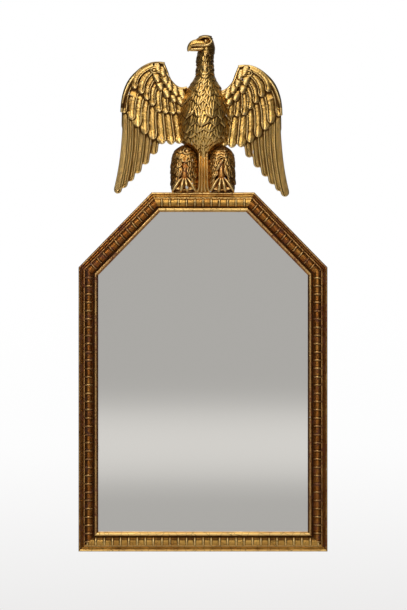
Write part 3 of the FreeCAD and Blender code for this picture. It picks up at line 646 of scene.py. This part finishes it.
def ribbedRoll(i):
    look = rollLook
    length = sideFrame(i)[3]
    ribs = 2 * int(length / look["pitch"] / 2) + 1
    turn = math.radians(look["halfAngle"])
    crown = look["width"] / 2 / math.sin(turn)
    axisOut = railLook["platformOut"] - crown * math.cos(turn)
    middle = look["start"] + look["width"] / 2
    rng = random.Random(40 + i)
    firstRib = length / 2 - look["pitch"] * (ribs // 2)
    drift = [rng.uniform(-0.5, 0.5) for _ in range(ribs + 4)]
    bold = [rng.uniform(0.75, 1.15) for _ in range(ribs + 4)]

    def rise(along):
        # a narrow raised rib each pitch, with a nick on both sides, over a finely fluted barrel
        t = (along - firstRib) / look["pitch"]
        k = int(math.floor(t + 0.5))
        own = min(max(k + 1, 0), ribs + 3)
        off = abs(along - firstRib - look["pitch"] * k - drift[own])
        edge = look["ribWidth"] / 2
        rib = bold[own] * smoothStep(edge + 0.5, edge - 0.7, off)
        nick = hump(off, edge + 1.0, 0.55)
        return rib, nick, math.cos(2 * math.pi * t * look["flutes"])

    def where(u, w, sunk):
        along = -look["overrun"] + (length + 2 * look["overrun"]) * u
        rib, nick, flute = rise(along)
        radius = crown - look["ribRise"] * (1 - rib) - 0.35 * nick + look["fluteRise"] * flute * (1 - rib)
        a = turn * w
        out = axisOut + radius * math.cos(a)
        across = middle + radius * math.sin(a)
        return sidePlace(i, along, across, railLook["platformOut"] - 0.5 if sunk else out)

    def tones(along, across, out):
        rib, nick, flute = rise(along)
        side = abs(across - middle) / (look["width"] / 2)
        fine = rib * 0.9 - nick * 1.2 + flute * 0.14 - smoothStep(0.86, 1.0, side) * 0.9
        # painted shade from railShade, lighter over the ribs
        stain = railTone(sideNames[i], across)[2] * (1 - 0.7 * rib)
        return fine, 0.2 - smoothStep(0.75, 1.0, side) * 0.9, stain

    form = bmesh.new()
    addPatch(form, where, int(length / look["step"]), 16)
    mitreCut(form, i)
    bmesh.ops.recalc_face_normals(form, faces=form.faces)
    for vert in form.verts:
        vert.co.y += waver(vert.co, look["waver"])
    markFrame(form, i, tones)
    addPiece(form, sideNames[i] + "RibbedRoll", [giltOf(i)], ["ribbed_roll_" + sideNames[i]],
             look["sharp"])


for i in range(6):
    ribbedRoll(i)
print("rolls planted")


# Mirror plate: the CAD piece's shape, cut finer so that its foxing can gather at the edges

plateLook = {
    "clearance": 1.2,
    "thickness": 4,
    "rings": (6, 12, 39),
    "sharp": 30,
}


def mirrorPlate():
    look = plateLook
    form = bmesh.new()
    inset = railWidth - railLook["plateRebate"] + look["clearance"]
    outline = []
    for i in range(6):
        before, after = Vector(sideFrame((i - 1) % 6)[2]), Vector(sideFrame(i)[2])
        shift = (before + after) * (inset / (1 + before.dot(after)))
        x, z = corners[i][0] + shift.x, corners[i][1] + shift.y
        outline.append(form.verts.new(place(x, railLook["plateFront"], z)))
    face = form.faces.new(outline)
    for step in look["rings"]:
        bmesh.ops.inset_region(form, faces=[face], use_boundary=True, use_even_offset=True,
                               thickness=step * mm)
    made = bmesh.ops.extrude_face_region(form, geom=list(form.faces), use_keep_orig=True)
    for vert in ofKind(made["geom"], bmesh.types.BMVert):
        vert.co.y += look["thickness"] * mm
    bmesh.ops.recalc_face_normals(form, faces=form.faces)
    layer = form.verts.layers.float.new("edgeNear")
    for vert in form.verts:
        spot = Vector((vert.co.x / mm, vert.co.z / mm))
        near = min((spot - Vector(corners[i])).dot(Vector(sideFrame(i)[2])) for i in range(6)) - inset
        vert[layer] = 1 - min(max(near / sum(look["rings"]), 0.0), 1.0)
    addPiece(form, "silveredPlate", ["plate"], ["mirror_plate"], look["sharp"])


mirrorPlate()
print("plate silvered")


# Feathers

def leafWhere(surface, tip, angle, length, halfAngle, lift, lean, barbs, strands, phase):
    # A leaf lying on a rounded form: surface(height, angle, lift) gives the point. The leaf runs
    # down from tip + length to tip, stands off at its tip, and is cut into slanting strands.
    def where(u, w, sunk):
        shape = math.sin(math.pi * min(0.22 + u * 0.6, 0.5))
        shape = shape * math.sqrt(max(1 - smoothStep(0.5, 1.0, u) ** 2.4, 0.004))
        strand = math.cos(2 * math.pi * (strands * w + 0.9 * u + phase))
        height = tip + length * (1 - u) - 1.2 * strand * smoothStep(0.65, 1.0, u)
        a = angle + halfAngle * w * shape + lean * (u - 0.3)
        if sunk:
            return surface(height, a, -2.4)
        rise = lift * (0.05 + 0.95 * smoothStep(-0.1, 0.85, u)) - lift * 0.38 * abs(w) ** 2.2
        rise += strand * barbs * smoothStep(0.25, 0.6, u)
        return surface(height, a, rise + 0.5 * hump(u, 0.88, 0.1))
    return where


def addLeaves(form, surface, rows, rng, skip=None):
    # rows: tip height, count over half a turn, length, lift, barb depth
    for k, (tip, count, length, lift, barbs) in enumerate(rows):
        for j in range(-1, count + 1):
            angle = math.pi * ((j + 0.5 + 0.5 * (k % 2)) / count - 0.5)
            angle += rng.uniform(-0.16, 0.16) / count * 2
            if abs(angle) > math.pi * 0.52 or (skip and skip(tip + length * 0.3, angle)):
                continue
            where = leafWhere(surface, tip + rng.uniform(-2.4, 2.4), angle,
                              length * rng.uniform(0.95, 1.25), math.pi / count * rng.uniform(0.56, 0.74),
                              lift * rng.uniform(0.7, 1.25), rng.uniform(-0.8, 0.8) / count, barbs,
                              1.1 + length / 28, rng.uniform(0, 1))
            addPatch(form, where, max(int(length / 1.8), 12), 24)


def shellSurface(stations, fullness=1.0):
    # rounded form with a flat back; stations are (height, centre, half width, depth)
    def surface(height, angle, lift):
        centre, width, depth = blended(stations, height)
        a = min(max(angle, -math.pi * 0.5), math.pi * 0.5)
        side = math.copysign(abs(math.sin(a)) ** fullness, a)
        out = crestBack + (depth + lift) * math.cos(a) ** fullness
        return crestPlace(centre + (width + lift) * side, out, height)
    return surface


def addShell(form, stations, shape=None, fullness=1.0):
    low, high = stations[0][0], stations[-1][0]
    surface = shellSurface(stations, fullness)

    def where(u, w, sunk):
        height = low + (high - low) * u
        point = surface(height, w * math.pi / 2, -0.4)
        if shape:
            point = shape(point, height)
        if sunk:
            point.y = -crestBack * mm
        return point
    addPatch(form, where, 60, 40)


def addCurl(form, outAt, x, height, wide, tall, thick):
    # a curled feather: an oval roll with a small boss inside it
    path = []
    for k in range(17):
        turn = 2 * math.pi * k / 16
        spot = (x + wide * math.sin(turn), height + tall * math.cos(turn))
        path.append((spot[0], outAt(*spot) + 2.2, spot[1], thick, thick))
    addLimb(form, smoothPath(path, 40), outward, 10)
    out = outAt(x, height)
    boss = [(x, out + rise, height, wide * share, tall * share)
            for rise, share in ((-2.0, 0.7), (2.2, 0.6), (3.6, 0.25))]
    addLimb(form, boss, rightward, 14)


def shellOut(stations):
    # how far out a rounded form's surface stands at a place
    def outAt(x, height):
        centre, width, depth = blended(stations, height)
        return crestBack + depth * math.sqrt(max(1 - ((x - centre) / width) ** 2, 0.0))
    return outAt


bodyLook = {
    "stations": [
        (72, 0.5, 10, 24), (84, 0.5, 13.5, 28), (93, 0.5, 20, 32), (101, 0.5, 30, 36),
        (110, 1, 44, 41.5), (122, 2.5, 51, 47), (145, 3, 56, 52), (170, 2.5, 55, 55),
        (195, 2, 50, 52.5), (217, 3, 43.5, 46.5), (238, 3, 33.5, 40.5), (254, 4, 23.5, 35.5),
        (268, 4.5, 19, 33), (292, 4.5, 16.8, 32),
    ],
    # tip height, leaves over half a turn, length, lift, barb depth
    "rows": [
        (71, 4, 16, 2.4, 0.5), (79, 4, 16, 2.6, 0.5), (87, 5, 17, 3, 0.5), (95, 6, 18, 3.2, 0.6),
        (102, 9, 20, 3.4, 0.5), (110, 9, 23, 4, 0.5), (119, 8, 27, 4.6, 0.5), (131, 7, 32, 5.2, 0.5),
        (146, 7, 36, 5.8, 0.5), (162, 7, 38, 6, 0.5), (178, 7, 36, 5.8, 0.5), (192, 7, 31, 5, 0.5),
        (203, 7, 26, 4.4, 0.5), (213, 7, 23, 4, 0.5), (223, 6, 21, 3.6, 0.5), (233, 6, 20, 3.4, 0.45),
        (243, 5, 19, 3.2, 0.45), (253, 4, 18, 3.1, 0.45), (263, 4, 17, 3, 0.45), (273, 4, 17, 3, 0.45),
    ],
    # curled feathers: x, height, half width, half height, roll
    "curls": [(4.5, 272, 9.5, 8.5, 1.6), (-4.5, 236, 7, 9.5, 1.5)],
    "grain": 0.88,
}


def eagleBody():
    look = bodyLook
    form = bmesh.new()
    addShell(form, look["stations"])
    addLeaves(form, shellSurface(look["stations"]), look["rows"], random.Random(11))
    for curl in look["curls"]:
        addCurl(form, shellOut(look["stations"]), *curl)

    def stain(x, out, height):
        # painted shade down both flanks, where they turn away from the light, most on the viewer's right
        flank = np.clip((np.abs(x - 2.0) / (14 + 0.30 * np.clip(290 - height, 0, 140)) - 0.55) / 0.45, 0, 1)
        return 0.26 * flank ** 1.5 + 0.04 * flank * (x > 0)
    carved(form, "eagleBodyCarving", ["eagle_body"], look["grain"], "bodyCarving", stain)


headLook = {
    "stations": [
        (286, 4.5, 18.3, 33), (302, 4.5, 17.6, 34.5), (316, 7, 17.8, 37), (328, 9, 17.6, 39),
        (338, 9, 16.4, 38.5), (345, 8.5, 14, 35), (349, 7.5, 11, 29),
    ],
    "rows": [(284, 4, 16, 2.8, 0.5), (294, 4, 16, 2.6, 0.5), (303, 5, 14, 2.2, 0.4), (311, 5, 12, 1.8, 0.3),
             (319, 5, 11, 1.3, 0.2)],
    "upperBeak": [(6, 31, 331, 12.5, 12), (-6, 31, 333, 10, 10.5), (-16, 31, 333.4, 8, 9.2),
                  (-24, 31, 331, 6.2, 8), (-30, 31, 325.5, 4.4, 5.6), (-33, 31, 319, 2.6, 3.2),
                  (-33.6, 31, 314.5, 1, 1)],
    "lowerBeak": [(6, 31, 321, 10.5, 6.5), (-8, 31, 320.6, 8, 5.2), (-18, 31, 320, 6, 4.6),
                  (-27, 31, 319, 3.6, 3.6), (-31, 31, 317.5, 1.8, 1.8)],
    "brow": [(-14, 38, 341, 2.2, 1.6), (-6, 42.5, 344.5, 3.2, 2.4), (4, 45, 346, 3.6, 2.4),
             (14, 43.5, 345, 3.2, 2.4), (21, 38, 342, 2.4, 2)],
    "cap": [(-9, 29, 346.4, 12, 2.8), (0, 28, 348.4, 15.5, 3.2), (10, 27, 348.8, 15, 3.2),
            (19, 26, 347.2, 11, 2.8)],
    "eye": [(6, 40, 337.6, 4.4, 4), (6, 43.4, 337.6, 3.6, 3.2), (6, 44.8, 337.6, 1.5, 1.4)],
    "lip": [(-27, 36, 326.5, 1.6, 1.6), (-18, 38.5, 327.6, 2.2, 2), (-7, 41.5, 327.4, 2.6, 2.4),
            (3, 44.5, 326.6, 3, 2.8), (12, 45.5, 328.4, 3.4, 3), (18, 43, 333, 3.2, 2.8),
            (18.5, 42, 338.5, 2.6, 2.2), (14, 43.5, 342, 1.8, 1.8)],
    "grain": 0.7,
}


def eagleHead():
    look = headLook
    form = bmesh.new()
    addShell(form, look["stations"])
    addLeaves(form, shellSurface(look["stations"]), look["rows"], random.Random(12))
    for part in ("upperBeak", "lowerBeak", "brow", "cap", "lip"):
        addLimb(form, smoothPath(look[part], 14), outward, 18)
    addLimb(form, look["eye"], rightward, 16)

    def stain(x, out, height):
        # painted shade: a darker cap, the eye socket and the sides of the head
        cap = np.clip((height - 341) / 6, 0, 1) * 0.75
        socket = np.exp(-((x - 6) / 6.5) ** 2 - ((height - 338) / 4.5) ** 2) * 0.7
        nape = np.clip((x - 12) / 8, 0, 1) * 0.4 + np.clip((-6 - x) / 6, 0, 1) * (height < 315) * 0.4
        return cap + socket * (out < 43) + nape
    carved(form, "eagleHeadCarving", ["eagle_head"], look["grain"], stain=stain)


eagleBody()
eagleHead()
print("body and head carved")


# Wings

wingLook = {
    "backInset": 0.5,
    "shift": 7,
    "drop": 7,
    "outline": [(30, 118), (30, 238), (49, 233), (58, 235), (67, 243), (76, 256), (81, 274), (87, 292),
                (101, 294),
                (116, 292), (130, 286), (143, 277), (156, 263), (168, 246), (177, 226), (183, 204),
                (184, 150),
                (172, 120), (118, 116)],
    "plateOut": 11,
    "shoulder": [(40, 236), (58, 238), (68, 247), (77, 261), (82, 276), (90, 288), (112, 288),
                 (133, 278), (150, 263),
                 (166, 240), (172, 222), (120, 200), (50, 190)],
    "shoulderOut": 18.5,
    "rim": [(86, 290), (101, 291), (116, 289), (130, 283), (143, 274), (155, 261), (167, 244),
            (175, 225), (181, 204),
            (183, 180)],
    "rimRoll": (17.5, 4.6, 4.4),
    "innerRim": [(88, 288), (82, 272), (76, 255), (67, 243), (58, 236), (48, 233), (36, 236)],
    "innerRimRoll": (17, 5, 4),
    # flight feathers, shared out between curves: count, roots, tips, bends, width, out at root and tip
    "flights": (6, [(176, 206), (150, 172), (100, 150)], [(194.5, -2), (163, 26), (112, 86)], (-9, 2),
                18.5, 14.5, 10),
    # long and short coverts, each as root, bend, tip and width
    "coverts": [
        ((120, 286), (181, 256), (178, 178), 15), ((114, 278), (166, 238), (160, 163), 18),
        ((110, 262), (152, 228), (147, 147), 19), ((110, 244), (138, 206), (130, 131), 19),
        ((106, 226), (120, 188), (112, 119), 20), ((100, 212), (100, 176), (92, 109), 21),
        ((84, 208), (80, 170), (71, 108), 21), ((68, 206), (62, 170), (53, 110), 20),
        ((54, 204), (46, 170), (38, 114), 18),
    ],
    "covertOut": (19.5, 17.5),
    "lesser": [
        ((112, 285), (160, 268), (153, 232), 14), ((104, 279), (144, 259), (138, 221), 15),
        ((100, 266), (133, 244), (125, 207), 15), ((98, 252), (122, 230), (112, 194), 16),
        ((94, 240), (108, 217), (98, 180), 17), ((84, 234), (90, 212), (83, 177), 17),
        ((70, 230), (75, 208), (67, 175), 17),
        ((56, 226), (58, 206), (51, 176), 17),
    ],
    "lesserOut": (24, 22.5),
    # middles of the bead-like scales below the shoulder
    "beads": [(102, 257), (95, 239), (80, 222), (65, 212), (50, 207), (90, 270), (84, 253), (74, 238),
              (61, 226), (46, 219),
              (100, 278)],
    "beadOut": (26, 26.5),
    "swirl": (110, 274, 7, 6, 1.5),
    "swirlOut": 22.5,
    "grain": 1,
}


def wingPlace(side, reach, height):
    if side > 0:
        return reach - wingLook["shift"], height - wingLook["drop"]
    return -reach, height


def bladeWhere(side, root, bend, tip, width, rootOut, tipOut, kind, rng):
    length = (Vector(tip) - Vector(root)).length
    tipRound = 1 - min(width * 0.55 / length, 0.5)
    phase = rng.uniform(0, 6)
    sway = rng.uniform(-0.6, 0.6)
    curlUp = rng.uniform(0.4, 1.4)

    def where(u, w, sunk):
        # w runs from the inner edge to the one towards the wing's leading edge
        centre = bezier((root, bend, tip), u)
        ahead = bezier((root, bend, tip), u + 0.01) - bezier((root, bend, tip), u - 0.01)
        square = Vector((-ahead.y, ahead.x)).normalized()
        share = 0.72 + 0.28 * smoothStep(0.0, 0.5, u)
        if u > tipRound:
            share *= math.sqrt(max(1 - ((u - tipRound) / (1 - tipRound)) ** 2, 0.003))
        spot = centre - square * (width / 2 * share * w)
        x, height = wingPlace(side, spot.x, spot.y)
        if sunk:
            return crestPlace(x, crestBack, height)
        distance = u * length
        if kind == "flight":
            barb = math.sin((distance + w * width * 0.8) * 2 * math.pi / 6.6 + phase)
            rise = 0.9 * w - 0.5 * w * w + 1.7 * hump(w, 0.70, 0.16) - 0.7 * hump(w, 0.42, 0.1)
            rise += 1.0 * barb * smoothStep(1.0, 0.8, w) * smoothStep(-1.0, -0.8, w)
        elif kind == "covert":
            barb = math.sin((distance + w * width * 0.9) * 2 * math.pi / 5.4 + phase)
            rise = 0.9 * w - 1.1 * w * w + 1.4 * hump(w, 0.84, 0.16) - 0.5 * hump(w, 0.55, 0.11)
            rise += 0.4 * hump(w, -0.05, 0.12)
            rise += 0.7 * barb * smoothStep(0.6, 0.4, w) * smoothStep(0.05, 0.3, u)
            rise += smoothStep(0.84, 0.97, u) * curlUp - hump(u, 0.82, 0.07) * 0.6
        else:
            rise = 2.4 * (1 - w * w) * smoothStep(0.0, 0.6, u) - 0.8 + 0.6 * hump(u, 0.9, 0.06)
            rise += 0.35 * math.sin(distance * 2 * math.pi / 4.6 + abs(w) * 3 + phase) * (1 - abs(w))
        return crestPlace(x, rootOut + (tipOut - rootOut) * u + sway + rise, height)
    return where


def wingFeathers(look):
    # root, bend, tip, width, out at root, out at tip and kind of every feather of a wing
    count, roots, tips, bends, width, rootOut, tipOut = look["flights"]
    for k in range(count):
        t = k / (count - 1)
        root, tip = bezier(roots, t), bezier(tips, t)
        way = (tip - root).normalized()
        bow = bends[0] + (bends[1] - bends[0]) * t
        bend = (root + tip) / 2 - Vector((way.y, -way.x)) * 2 * bow
        yield root, bend, tip, width, rootOut, tipOut, "flight"
    for key, outKey in (("coverts", "covertOut"), ("lesser", "lesserOut")):
        for root, bend, tip, width in look[key]:
            yield root, bend, tip, width, *look[outKey], "covert"
    for reach, height in look["beads"]:
        root, bend, tip = (reach + 4, height + 12), (reach + 4, height + 2), (reach - 3, height - 10)
        yield root, bend, tip, 15.0, *look["beadOut"], "scale"


def wing(side, name, node, seed):
    look = wingLook
    rng = random.Random(seed)
    form = bmesh.new()
    for key, out in (("outline", look["plateOut"]), ("shoulder", look["shoulderOut"])):
        spots = [wingPlace(side, *spot) for spot in look[key]]
        face = form.faces.new([form.verts.new(crestPlace(x, out, height)) for x, height in spots])
        made = bmesh.ops.extrude_face_region(form, geom=[face], use_keep_orig=True)
        for vert in ofKind(made["geom"], bmesh.types.BMVert):
            vert.co.y = -crestBack * mm
    for key in ("rim", "innerRim"):
        out, deep, wide = look[key + "Roll"]
        stations = []
        for k, spot in enumerate(look[key]):
            x, height = wingPlace(side, *spot)
            ease = 0.75 + 0.25 * math.sin(math.pi * k / (len(look[key]) - 1))
            stations.append((x, out, height, wide * ease, deep * ease))
        addLimb(form, smoothPath(stations, 36), Vector((side, 0, 0.3)).normalized(), 14)
    for root, bend, tip, width, rootOut, tipOut, kind in wingFeathers(look):
        along = max(int((Vector(tip) - Vector(root)).length / 1.5), 14)
        width *= rng.uniform(0.96, 1.04)
        where = bladeWhere(side, root, bend, tip, width, rootOut, tipOut, kind, rng)
        addPatch(form, where, along, 18)
    reach, height, *swirl = look["swirl"]
    addCurl(form, lambda x, h: look["swirlOut"], *wingPlace(side, reach, height), *swirl)

    def stain(x, out, height):
        # painted shade along the leading edge and on the outermost flight
        reach = side * x + (look["shift"] if side > 0 else 0)
        lead = np.clip((np.hypot(reach - 96, (height - 205) * 0.98) - 76) / 8, 0, 1) * (height > 190)
        edge = 184 + np.clip(190 - height, 0, 190) * 0.065
        outer = np.clip((reach - edge + 9) / 6, 0, 1) * (height < 200)
        return 0.75 * lead + (0.6 if side < 0 else 0.2) * outer
    piece = carved(form, name, [node], look["grain"], stain=stain)
    for vert in piece.data.vertices:
        # its back is set forward of the body's, so that the two never lie in one plane
        vert.co.y = min(vert.co.y, -(crestBack + look["backInset"]) * mm)


wing(-1, "leftWingCarving", "left_wing", 21)
wing(1, "rightWingCarving", "right_wing", 22)
print("wings carved")


# Legs, feet and tail

legLook = {
    "span": 41.2,
    "stations": [(0.6, 28, 18), (9, 29, 21), (16, 29.4, 33), (32, 29.2, 36), (60, 29, 36),
                 (75, 28.2, 35), (88, 25, 32), (98, 18.5, 27), (106, 8, 20)],
    "fullness": 0.8,
    "rows": [(8, 7, 20, 2.6, 0.4), (19, 7, 22, 3, 0.5), (31, 7, 23, 3.2, 0.55), (43, 7, 22, 3.2, 0.55),
             (55, 7, 20, 3, 0.5), (66, 6, 18, 2.8, 0.4), (76, 6, 16, 2.4, 0.35), (85, 5, 14, 2.2, 0.3),
             (93, 4, 12, 1.8, 0.2)],
    # half width at the foot, height and depth of the hollow that holds the claws
    "opening": (24, 76, 25),
    "parting": (72, 14, 2.6),
    "leftCurl": (-36, 91, 8, 6.5, 1.5),
    "rightQuill": [(45.5, 39, 72, 2.4, 2), (41, 41, 66, 4, 2.6), (34, 40.5, 55, 4, 2.6),
                   (28, 38, 46, 2.2, 2)],
    "grain": 0.75,
    "toes": [(27, 3.9), (8.5, 4.5), (-6, 4.5), (-24, 3.9)],
    "toeStations": [(0.10, 33.5, 33, 0.75, 3.6), (0.40, 37, 25, 0.95, 4.6), (0.70, 38.5, 15, 1.1, 5),
                    (0.93, 37.5, 6.5, 0.95, 4.4), (1.01, 34.5, 1.6, 0.6, 2.4), (1.02, 31.5, -1, 0.2, 0.8)],
    "shank": [(9, 9, 4), (30, 9.5, 5), (45, 7.5, 5), (60, 4.5, 4.2), (73, 1.6, 3)],
    "shankOut": 33.5,
    "heel": [(5, 7, 13, 6.8), (18, 7, 13.5, 6.6), (31, 8.5, 22, 4.6)],
}


def thigh(side, name, node, seed):
    look = legLook
    middle = side * look["span"]
    stations = [(height, middle, width, depth) for height, width, depth in look["stations"]]
    wide, high, deep = look["opening"]

    def gap(height):
        return wide * (1 - height / high)

    def hollowed(point, height):
        reach = gap(height)
        if reach > 0:
            inside = 1 - smoothStep(reach - 1.5, reach + 1.5, abs(point.x / mm - middle))
            out = -point.y / mm
            point.y = -(out + (min(out, deep) - out) * inside) * mm
        return point

    def skip(height, angle):
        # no leaves over the opening
        width = blended(stations, height)[1]
        return abs(width * math.sin(angle) * 1.08) < gap(height + 3)

    form = bmesh.new()
    addShell(form, stations, hollowed, look["fullness"])
    addLeaves(form, shellSurface(stations, look["fullness"]), look["rows"], random.Random(seed), skip)
    start, finish, thick = look["parting"]
    for edge in (-1, 1):
        # long feathers that part along the opening
        path = []
        for k in range(5):
            height = start + (finish - start) * k / 4
            width = thick * (0.5 + 0.6 * math.sin(math.pi * (0.15 + 0.75 * k / 4)))
            out = look["shankOut"] + 2.5 * math.sin(math.pi * k / 4)
            path.append((middle + edge * (gap(height) + 1.5), out, height, width, 3.0))
        addLimb(form, smoothPath(path, 12), rightward, 12)
    if side < 0:
        addCurl(form, shellOut(stations), *look["leftCurl"])
    else:
        addLimb(form, smoothPath(look["rightQuill"], 12), rightward, 12)

    def inside(x, height):
        reach = np.clip(gap(height), 0.01, None)
        return np.clip(1.25 - np.abs(x - middle) / reach, 0, 1) * (height < high)

    def warmth(x, out, height):
        # redder inside the claw opening as painted shade of the hollow, and a little redder all over
        return 0.9 * inside(x, height) + 0.15

    def stain(x, out, height):
        # painted shade: in the claw opening, along the foot of the thigh, in the crevice between the thighs
        # and over the top where it meets the body
        crevice = np.clip((30 - np.abs(x)) / 10, 0, 1) * np.clip((height - 68) / 8, 0, 1)
        crown = np.clip((height - 86) / 8, 0, 1)
        low = np.clip((14 - height) / 8, 0, 1)
        return 0.25 * inside(x, height) + 0.4 * low + 0.7 * np.maximum(crevice, crown)
    carved(form, name, [node], look["grain"], "legCarving", stain, warmth)


def clawedFoot(side, name, node):
    look = legLook
    middle = side * look["span"]
    form = bmesh.new()
    shank = [(middle, look["shankOut"], *station) for station in look["shank"]]
    addLimb(form, smoothPath(shank, 12), rightward, 14)
    for spread, width in look["toes"]:
        path = [(middle + side * spread * share, out, height, width * narrow, deep)
                for share, out, height, narrow, deep in look["toeStations"]]
        addLimb(form, smoothPath(path, 16), rightward, 14)
    heel = [(middle, *station) for station in look["heel"]]
    addLimb(form, smoothPath(heel, 8), rightward, 20)

    def warmth(x, out, height):
        return np.clip((height - 22) / 10, 0, 1) * 0.6

    def stain(x, out, height):
        # painted shade low down on the parts set back behind the toes
        return np.clip((34 - out) / 6, 0, 1) * 0.6 * (height < 34)
    carved(form, name, [node], look["grain"], "legCarving", stain, warmth)


for side, word, seed in ((-1, "left", 31), (1, "right", 32)):
    thigh(side, word + "ThighCarving", word + "_leg", seed)
    clawedFoot(side, word + "FootCarving", word + "_foot")
print("legs carved")


tailLook = {
    "stations": [(92, 11.6, 27), (60, 11.8, 30), (30, 12.2, 29), (14, 13.4, 26), (6, 15.5, 22.6),
                 (0, 18, 18.6)],
    "middle": 0.6,
    "feathers": 4,
    "curl": [(9, 22, 16, 2.6, 2.6), (11.5, 22, 8, 2.8, 2.8), (16, 21, 3.6, 2.8, 2.8),
             (20, 20, 5.6, 2.4, 2.4), (20.5, 20, 9, 1.4, 1.4)],
    "grain": 0.75,
}


def eagleTail():
    look = tailLook
    middle = look["middle"]
    stations = [(height, middle, width, depth) for height, width, depth in reversed(look["stations"])]
    form = bmesh.new()

    def where(u, w, sunk):
        height = stations[-1][0] * u
        centre, width, depth = blended(stations, height)
        x = centre + width * w
        strand = (w + 1) / 2 * look["feathers"]
        part = abs((strand % 1.0) - 0.5) * 2
        out = crestBack + depth - 3.0 * part ** 3 + 0.7 * hump(part, 0.0, 0.3) - 1.5 * w * w
        out += 0.22 * math.sin(height * 2 * math.pi / 3.2 + part * 4) * (1 - part)
        return crestPlace(x, crestBack if sunk else out, height)
    addPatch(form, where, 80, 48)
    for edge in (-1, 1):
        curl = [(middle + edge * reach, *rest) for reach, *rest in look["curl"]]
        addLimb(form, smoothPath(curl, 14), outward, 12)
    carved(form, "tailCarvingBlock", ["tail"], look["grain"], "tailCarving")


eagleTail()
print("tail carved")


# Back of the mirror: boards, splines, blocks, iron strap and hangers keep their CAD shapes

backFinishes = {
    "boards": ["lower_backboard", "middle_backboard", "upper_backboard"],
    "rawWoodAcross": ["corner_splines", "wing_dowels"],
    "rawWoodUp": ["glazing_blocks", "neck_dowel", "leg_dowels"],
    "iron": ["backboard_brads", "crest_strap", "crest_screws"],
    "steel": ["hanger_screws", "hanger_strap_left", "hanger_strap_right"],
    "brass": ["hanger_ring_left", "hanger_ring_right"],
}
for key, nodes in backFinishes.items():
    for node in nodes:
        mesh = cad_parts[node].data
        mesh.materials.clear()
        mesh.materials.append(finishes[key])
print("back dressed")


# Studio: pale floor, soft light, the camera square to the mirror

studio = {
    "floorDrop": 1000,
    "floorHalf": 2200,
    "cameraAway": 4,
    "frontOut": 24,
    "pixel": 2.247,
    "imageSize": (407, 610),
    "imageCentre": (1.1, -1.5),
    "softboxes": [
        # place x, out, z, size x, size y, power
        (-300, 1300, 2300, 2.2, 1, 11),
        (-1300, 3400, 1500, 0.7, 0.7, 13),
        (-100, 3600, 1150, 1.6, 0.6, 11),
        (300, 2300, -1500, 1.8, 0.8, 6),
    ],
    # height of a direction from -1 to 1, and how bright the room is there
    "room": [(-1, 0.35), (-0.6, 0.55), (-0.3, 0.66), (-0.13, 0.45), (-0.106, 0.46), (-0.09, 0.69),
             (-0.078, 0.72),
             (-0.066, 0.69), (-0.05, 0.47), (-0.04, 0.45), (0.14, 0.45), (0.30, 0.75), (0.6, 0.75),
             (1, 0.6)],
    "sideShade": 0.93,
    # the plain backdrop that the camera sees, by height of direction from 0 to 1
    "backdrop": [(0.40, (0.80, 0.79, 0.785, 1)), (0.46, (0.98, 0.98, 0.98, 1)), (0.5, (1, 1, 1, 1))],
    "floorTones": ((0.93, 0.925, 0.92, 1), (0.90, 0.895, 0.89, 1)),
}


def plainFloor():
    form = bmesh.new()
    size = studio["floorHalf"] * mm
    bmesh.ops.create_grid(form, x_segments=8, y_segments=8, size=size)
    bmesh.ops.translate(form, vec=(0, -size * 0.45, -studio["floorDrop"] * mm), verts=form.verts)
    floor = addObject("studioFloor", meshOf(form, "studioFloor"))
    paint = newPaint("paleFloor")
    colour = paint.mix(paint.noise(4.0, 3.0), *studio["floorTones"])
    floor.data.materials.append(paint.surface({}, Base_Color=colour, Roughness=0.7))


def softLight():
    for k, (x, out, z, wide, deep, power) in enumerate(studio["softboxes"]):
        lamp = bpy.data.lights.new("softbox%d" % k, "AREA")
        lamp.shape = "RECTANGLE"
        lamp.size, lamp.size_y = wide, deep
        lamp.energy = power
        holder = addObject("softbox%d" % k, lamp)
        holder.location = place(x, out, z)
        holder.rotation_euler = (Vector((0, 0, -0.1)) - holder.location).to_track_quat("-Z", "Y").to_euler()


def studioRoom():
    # what the gold and the glass reflect, with a plain backdrop for the camera
    world = bpy.data.worlds.new("studioRoom")
    bpy.context.scene.world = world
    room = Paint(world, "Generated")
    x = room.node("ShaderNodeSeparateXYZ", {}, {0: room.where}, 0)
    z = room.node("ShaderNodeSeparateXYZ", {}, {0: room.where}, 2)
    level = z * 0.5 + 0.5
    sides = room.node("ShaderNodeMath", {"operation": "ABSOLUTE"}, {0: x}).above(0.16, 0.6)
    power = 1.0 - sides * studio["sideShade"]
    stops = [(spot * 0.5 + 0.5, (bright, bright * 0.985, bright * 0.955, 1))
             for spot, bright in studio["room"]]
    ramp = room.node("ShaderNodeValToRGB", {"stops": stops}, {"Fac": level})
    shade = room.node("ShaderNodeBackground", {}, {"Color": ramp, "Strength": power})
    pale = room.node("ShaderNodeValToRGB", {"stops": studio["backdrop"]}, {"Fac": level})
    plain = room.node("ShaderNodeBackground", {}, {"Color": pale, "Strength": 1.0})
    seen = room.node("ShaderNodeLightPath", {}, {}, "Is Camera Ray")
    both = room.node("ShaderNodeMixShader", {}, {0: seen, 1: shade, 2: plain})
    room.node("ShaderNodeOutputWorld", {}, {"Surface": both})


def photoCamera():
    lens = bpy.data.cameras.new("photoCamera")
    camera = addObject("photoCamera", lens)
    away = studio["cameraAway"]
    tall = studio["imageSize"][1] * studio["pixel"] * mm
    lens.sensor_width = 36.0
    lens.lens = 36.0 * away / tall
    x, z = studio["imageCentre"]
    camera.location = (x * mm, -away - studio["frontOut"] * mm, z * mm)
    camera.rotation_euler = (math.pi / 2, 0, 0)
    bpy.context.scene.camera = camera
    bpy.context.scene.view_settings.view_transform = "Standard"


plainFloor()
softLight()
studioRoom()
photoCamera()
print("studio lit")
